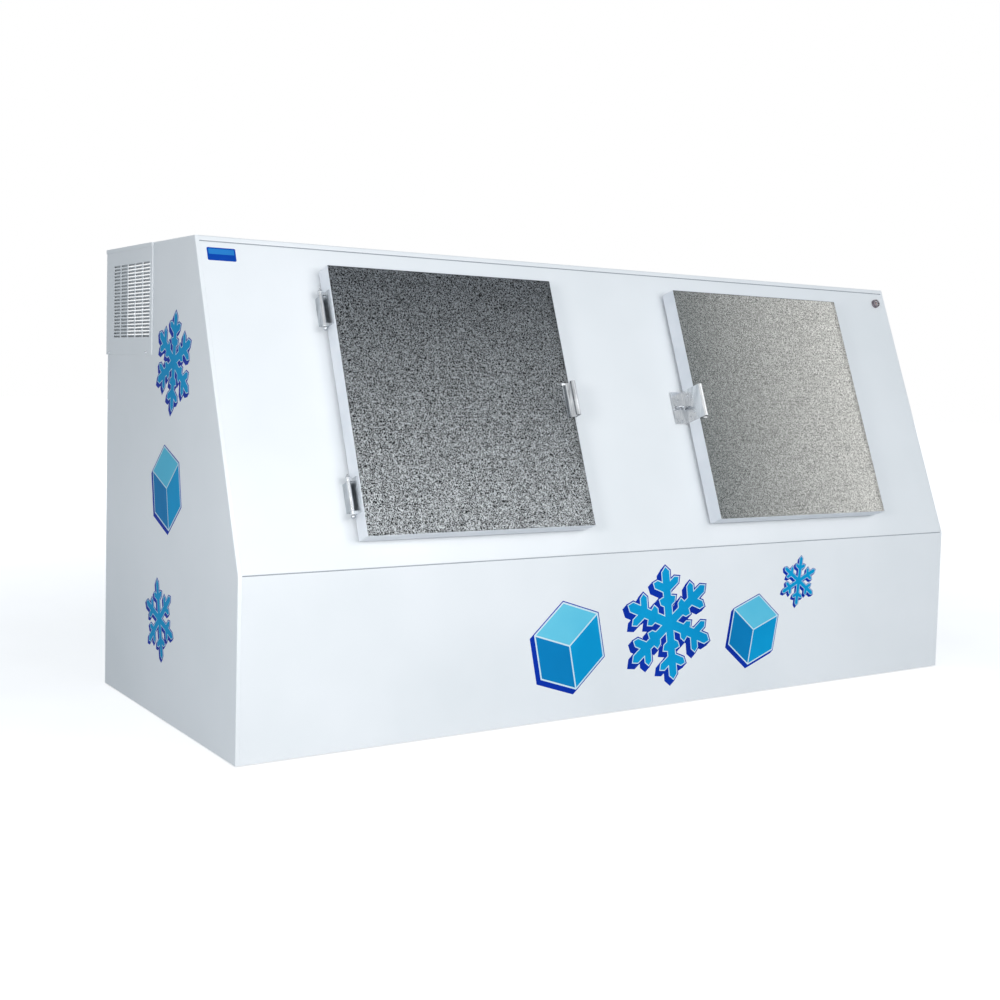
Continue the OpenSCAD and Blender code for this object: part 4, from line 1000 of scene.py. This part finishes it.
def makeDial():
    d = dial
    card = startDisc("dialCard", (0, 0, d["floor"] + d["card"] / 2), d["radius"], d["card"], 48)
    openRing(card, d["radius"] - d["hole"])
    placeAt(card, dialFrame)
    finishPiece(card, "dialCard", "cabinet", ())

    marks = []
    top = d["floor"] + d["card"]
    for i in range(d["ticks"]):
        rim = d["radius"] - d["tickMargin"]
        length = d["longTick"] if i % 4 == 0 else d["shortTick"]
        tick = startBox("tick", (-d["tickWidth"] / 2, rim - length, top),
                        (d["tickWidth"] / 2, rim, top + d["tickHeight"]))
        placeAt(tick, Matrix.Rotation(-math.radians(d["start"] + d["tickStep"] * i), 4, "Z"))
        marks.append(tick)
    for i, number in enumerate(d["numbers"]):
        angle = math.radians(d["start"] + d["numberStep"] * i)
        deselectAll()
        bpy.ops.object.text_add()
        text = bpy.context.object
        text.data.body = number
        text.data.size = d["numberSize"]
        text.data.align_x = "CENTER"
        text.data.align_y = "CENTER"
        text.data.extrude = d["tickHeight"] / 2
        reach = d["radius"] - d["numberMargin"]
        makeActive(text)
        bpy.ops.object.convert(target="MESH")
        text = bpy.context.object
        placeAt(text, Matrix.Translation((math.sin(angle) * reach, math.cos(angle) * reach,
                                          top + d["tickHeight"] / 2)))
        marks.append(text)
    scale = joinPieces("dialMarks", marks)
    placeAt(scale, dialFrame)
    finishPiece(scale, "dialInk", "cabinet", (), closed=False)


makeDial()
print("dial made")


# ---- vinyl decals ----

film = {
    "step": 0.00012,
    "outline": 0.040,
    "inline": 0.018,
    "shadow": (-0.085, -0.075),
    "shadowSteps": 3,
    "cubeGap": 0.018,
    "armWidth": 0.175,
}
frontFrame = Matrix(((1, 0, 0, 0), (0, 0, -1, cabinet["front"]), (0, 1, 0, 0), (0, 0, 0, 1)))
sideFrame = Matrix(((0, 0, -1, -cabinet["side"]), (-1, 0, 0, 0), (0, 1, 0, 0), (0, 0, 0, 1)))


def turned(point, degrees):
    c, s = math.cos(math.radians(degrees)), math.sin(math.radians(degrees))
    return (point[0] * c - point[1] * s, point[0] * s + point[1] * c)


# Moves every edge of a clockwise outline outwards by the same distance
def grown(points, distance):
    result = []
    for i, here in enumerate(points):
        before, after = Vector(points[i - 1]), Vector(points[(i + 1) % len(points)])
        here = Vector(here)
        inward, outward = (here - before).normalized(), (after - here).normalized()
        sideA, sideB = Vector((-inward.y, inward.x)), Vector((-outward.y, outward.x))
        lean = sideA + sideB
        result.append(tuple(here + lean * (2 * distance / lean.length_squared)))
    return result


# Outline of a six-armed snow crystal, clockwise: one arm with its side branches, six times
def crystalOutline(reach, width, branches):
    w, b = width / 2, width * 0.42
    along = Vector((math.sin(math.radians(60)), math.cos(math.radians(60))))
    across = Vector((along.y, -along.x))
    right = []
    for at, length in branches:
        foot = Vector((0, at * reach))
        low, high = (w - b * across.x) / along.x, (w + b * across.x) / along.x
        end = foot + along * length * reach
        right += [foot + across * b + along * low, end + across * b, end + along * b,
                  end - across * b, foot - across * b + along * high]
    right = [tuple(p) for p in right]
    left = [(-x, y) for x, y in right]
    arm = [(-w, w * math.sqrt(3))] + left + [(-w, reach), (0, reach + w), (w, reach)] + right[::-1]
    return [turned(p, -60 * k) for k in range(6) for p in arm]


def cubeOutline(reach):
    return [turned((0, reach), -60 * k) for k in range(6)]


# The three faces of the drawn cube, each a rhombus between the middle and the outline
def cubeFaces(reach):
    corners = cubeOutline(reach)
    return [[(0, 0), corners[i - 1], corners[i], corners[(i + 1) % 6]] for i in (0, 2, 4)]


# A layer of film cut to an outline; it stands on the panel, a step higher than the layer below
def cutLayer(name, points, level, finishName):
    deselectAll()
    bpy.ops.mesh.primitive_circle_add(vertices=len(points), radius=1, fill_type="NGON", location=(0, 0, 0))
    piece = bpy.context.object
    piece.name = name
    for vertex, (x, y) in zip(piece.data.vertices, points):
        vertex.co = (x, y, 0)
    editAll(piece)
    extrudeBy(0, 0, film["step"] * (level + 1))
    turnOutwards(piece)
    piece.data.materials.clear()
    piece.data.materials.append(finishes[finishName])
    return piece


# Drop shadow, outline, inline and fills, stuck on a panel by their middle
def stickOn(name, reach, outline, fills, face, x, y, turn=0.0):
    outline = [turned(p, turn) for p in outline]
    steps = film["shadowSteps"]
    edge = grown(outline, film["outline"] * reach)
    layers = []
    for i in range(steps, 0, -1):
        dx, dy = (v * reach * i / steps for v in film["shadow"])
        moved = [(px + dx, py + dy) for px, py in edge]
        layers.append(cutLayer(name + "Shadow", moved, steps - i, "deepBlue"))
    layers.append(cutLayer(name + "Edge", edge, steps, "deepBlue"))
    layers.append(cutLayer(name + "Inline", grown(outline, film["inline"] * reach), steps + 1, "iceBlue"))
    for points, finishName in fills:
        layers.append(cutLayer(name + "Fill", [turned(p, turn) for p in points], steps + 2, finishName))
    piece = joinPieces(name, layers)
    placeAt(piece, face @ Matrix.Translation((x, y, 0)))
    finishPiece(piece, None, "cabinet", (), 20)


def stickCrystal(name, reach, branches, face, x, y, turn):
    outline = crystalOutline(reach, film["armWidth"] * reach, branches)
    stickOn(name, reach, outline, [(outline, "skyBlue")], face, x, y, turn)


def stickCube(name, reach, face, x, y, turn):
    fills = [(grown(points, -film["cubeGap"] * reach), finishName)
             for points, finishName in zip(cubeFaces(reach), ("paleSky", "skyBlue", "midSky"))]
    stickOn(name, reach, cubeOutline(reach), fills, face, x, y, turn)


longBranches = [(0.38, 0.15), (0.66, 0.28)]
shortBranches = [(0.56, 0.26)]
stickCube("frontCubeLeft", 0.118, frontFrame, -0.270, 0.195, 12)
stickCrystal("frontCrystal", 0.145, longBranches, frontFrame, 0.068, 0.228, 8)
stickCube("frontCubeRight", 0.100, frontFrame, 0.385, 0.185, -10)
stickCrystal("frontCrystalSmall", 0.066, shortBranches, frontFrame, 0.560, 0.315, -6)
stickCrystal("sideCrystal", 0.112, longBranches, sideFrame, 0.050, 0.905, -6)
stickCube("sideCube", 0.105, sideFrame, 0.010, 0.590, 10)
stickCrystal("sideCrystalSmall", 0.092, shortBranches, sideFrame, -0.030, 0.255, 12)
print("decals cut")


# Plain blue label with rounded corners and a paler band
def makeLabel():
    label = {
        "x": (-1.168, -1.096),
        "t": (0.764, 0.797),
        "thick": 0.0006,
        "corner": 0.0028,
        "edge": 0.0035,
        "bandLow": 0.016,
        "bandCorner": 0.00168,
    }
    (x0, x1), (t0, t1), edge, top = label["x"], label["t"], label["edge"], label["thick"]
    plate = startBox("label", (x0, t0, 0), (x1, t1, top))
    bevelEdges(plate, lambda p, d: abs(d.z) > 0.9, label["corner"])
    plate.data.materials.append(finishes["labelBlue"])
    band = startBox("labelBand", (x0 + edge, t0 + label["bandLow"], top),
                    (x1 - edge, t1 - edge, top + film["step"]))
    bevelEdges(band, lambda p, d: abs(d.z) > 0.9, label["bandCorner"])
    band.data.materials.append(finishes["labelSky"])
    piece = joinPieces("cornerLabel", [plate, band])
    placeAt(piece, slantFrame)
    finishPiece(piece, None, "cabinet", (), 30)


makeLabel()
bpy.data.objects.remove(screwMaster)


# ---- stage, light and camera ----

stageLook = {"ambient": 0.36, "tint": "#D9EEFF", "floorRadius": 30, "fadeFrom": 1.6, "fadeTo": 5.0}


# 1 for the rays that show the plain backdrop: the camera's own, and those off gloss and through glass
def backdropRays(tree):
    path = addNode(tree, "LightPath")
    seen = addNode(tree, "Math", {"operation": "ADD", "use_clamp": True},
                   {0: path.outputs["Is Camera Ray"], 1: path.outputs["Is Glossy Ray"]})
    clear = addNode(tree, "Math", {"operation": "ADD", "use_clamp": True},
                    {0: seen.outputs["Value"], 1: path.outputs["Is Transmission Ray"]})
    return clear.outputs["Value"]


def makeWorld():
    world = bpy.data.worlds.new("studio")
    bpy.context.scene.world = world
    world.use_nodes = True
    tree = world.node_tree
    tree.nodes.clear()
    ambient = addNode(tree, "Background",
                      {"Color": linear(stageLook["tint"]), "Strength": stageLook["ambient"]})
    white = addNode(tree, "Background", {"Color": (1, 1, 1, 1), "Strength": 1.0})
    mix = addNode(tree, "MixShader", links={
        0: backdropRays(tree), 1: ambient.outputs["Background"], 2: white.outputs["Background"]})
    addNode(tree, "OutputWorld", links={"Surface": mix.outputs["Shader"]})


makeWorld()


# Pale matt floor, which glows for the backdrop's rays as it nears the horizon
def makeFloor():
    deselectAll()
    bpy.ops.mesh.primitive_circle_add(vertices=96, radius=stageLook["floorRadius"], fill_type="NGON")
    floor = bpy.context.object
    floor.name = "studioFloor"
    finish, tree, shader, place = startFinish("paleFloor", Roughness=0.9, Specular_IOR_Level=0.2)
    grain = addNode(tree, "TexNoise", {"Scale": 3.0}, {"Vector": place})
    wire(tree, shader, colourStops(tree, grain.outputs["Fac"], [(0.4, "#B9BCBF"), (0.6, "#BEC1C4")]))
    far = addNode(tree, "VectorMath", {"operation": "LENGTH"}, {0: place})
    fade = addNode(tree, "MapRange",
                   {"From Min": stageLook["fadeFrom"], "From Max": stageLook["fadeTo"],
                    "To Min": 0.72, "To Max": 1.0}, {"Value": far.outputs["Value"]})
    lift = addNode(tree, "Math", {"operation": "MULTIPLY"},
                   {0: backdropRays(tree), 1: fade.outputs["Result"]})
    glow = addNode(tree, "Emission", {"Color": (1, 1, 1, 1)}, {"Strength": lift.outputs["Value"]})
    both = addNode(tree, "AddShader",
                   links={0: shader.outputs["BSDF"], 1: glow.outputs["Emission"]})
    tree.links.new(both.outputs["Shader"], tree.nodes["Material Output"].inputs["Surface"])
    floor.data.materials.append(finish)


makeFloor()


def addPanelLight(name, place, aim, size, power):
    lamp = bpy.data.lights.new(name, "AREA")
    lamp.shape = "RECTANGLE"
    lamp.size, lamp.size_y = size
    lamp.energy = power
    holder = bpy.data.objects.new(name, lamp)
    bpy.context.scene.collection.objects.link(holder)
    holder.location = place
    holder.rotation_euler = (Vector(aim) - Vector(place)).to_track_quat("-Z", "Y").to_euler()


# Each lamp's place, aim, width and height in metres, and its watts
lamps = {
    "frontSoftbox": ((0.4, -4.8, 2.0), (0.2, -0.4, 0.6), (3.0, 1.6), 82.0),
    "rightSoftbox": ((2.2, -3.8, 3.0), (0.8, -0.4, 0.7), (2.0, 1.6), 12.0),
    "leftSoftbox": ((-3.0, -2.2, 1.2), (-1.1, -0.4, 0.6), (0.8, 0.8), 26.0),
    "nearSoftbox": ((-1.9, -2.8, 1.1), (-1.1, -0.4, 0.6), (0.8, 0.8), 9.0),
}
for name, lamp in lamps.items():
    addPanelLight(name, *lamp)

# Fitted to the cabinet's corners: degrees, and the focal length in pixels of a 1000 pixel picture
camera = {
    "place": (-2.3933, -3.3036, 0.9024),
    "yaw": 33.663,
    "pitch": 3.674,
    "roll": 1.575,
    "pixels": 1373.39,
    "picture": 1000,
    "sensor": 36,
    "shiftY": -0.040,
}


def makeCamera():
    data = bpy.data.cameras.new("camera")
    holder = bpy.data.objects.new("camera", data)
    bpy.context.scene.collection.objects.link(holder)
    yaw, pitch, roll = (math.radians(camera[k]) for k in ("yaw", "pitch", "roll"))
    forward = Vector((math.sin(yaw) * math.cos(pitch), math.cos(yaw) * math.cos(pitch), -math.sin(pitch)))
    right = Vector((math.cos(yaw), -math.sin(yaw), 0))
    up = right.cross(forward)
    turnedRight = right * math.cos(roll) + up * math.sin(roll)
    turnedUp = up * math.cos(roll) - right * math.sin(roll)
    axes = Matrix((turnedRight, turnedUp, -forward)).transposed().to_4x4()
    holder.matrix_world = Matrix.Translation(camera["place"]) @ axes
    data.sensor_width = camera["sensor"]
    data.lens = camera["pixels"] / camera["picture"] * camera["sensor"]
    data.shift_y = camera["shiftY"]
    bpy.context.scene.camera = holder


makeCamera()
bpy.context.scene.view_settings.view_transform = "Standard"
print("stage ready")
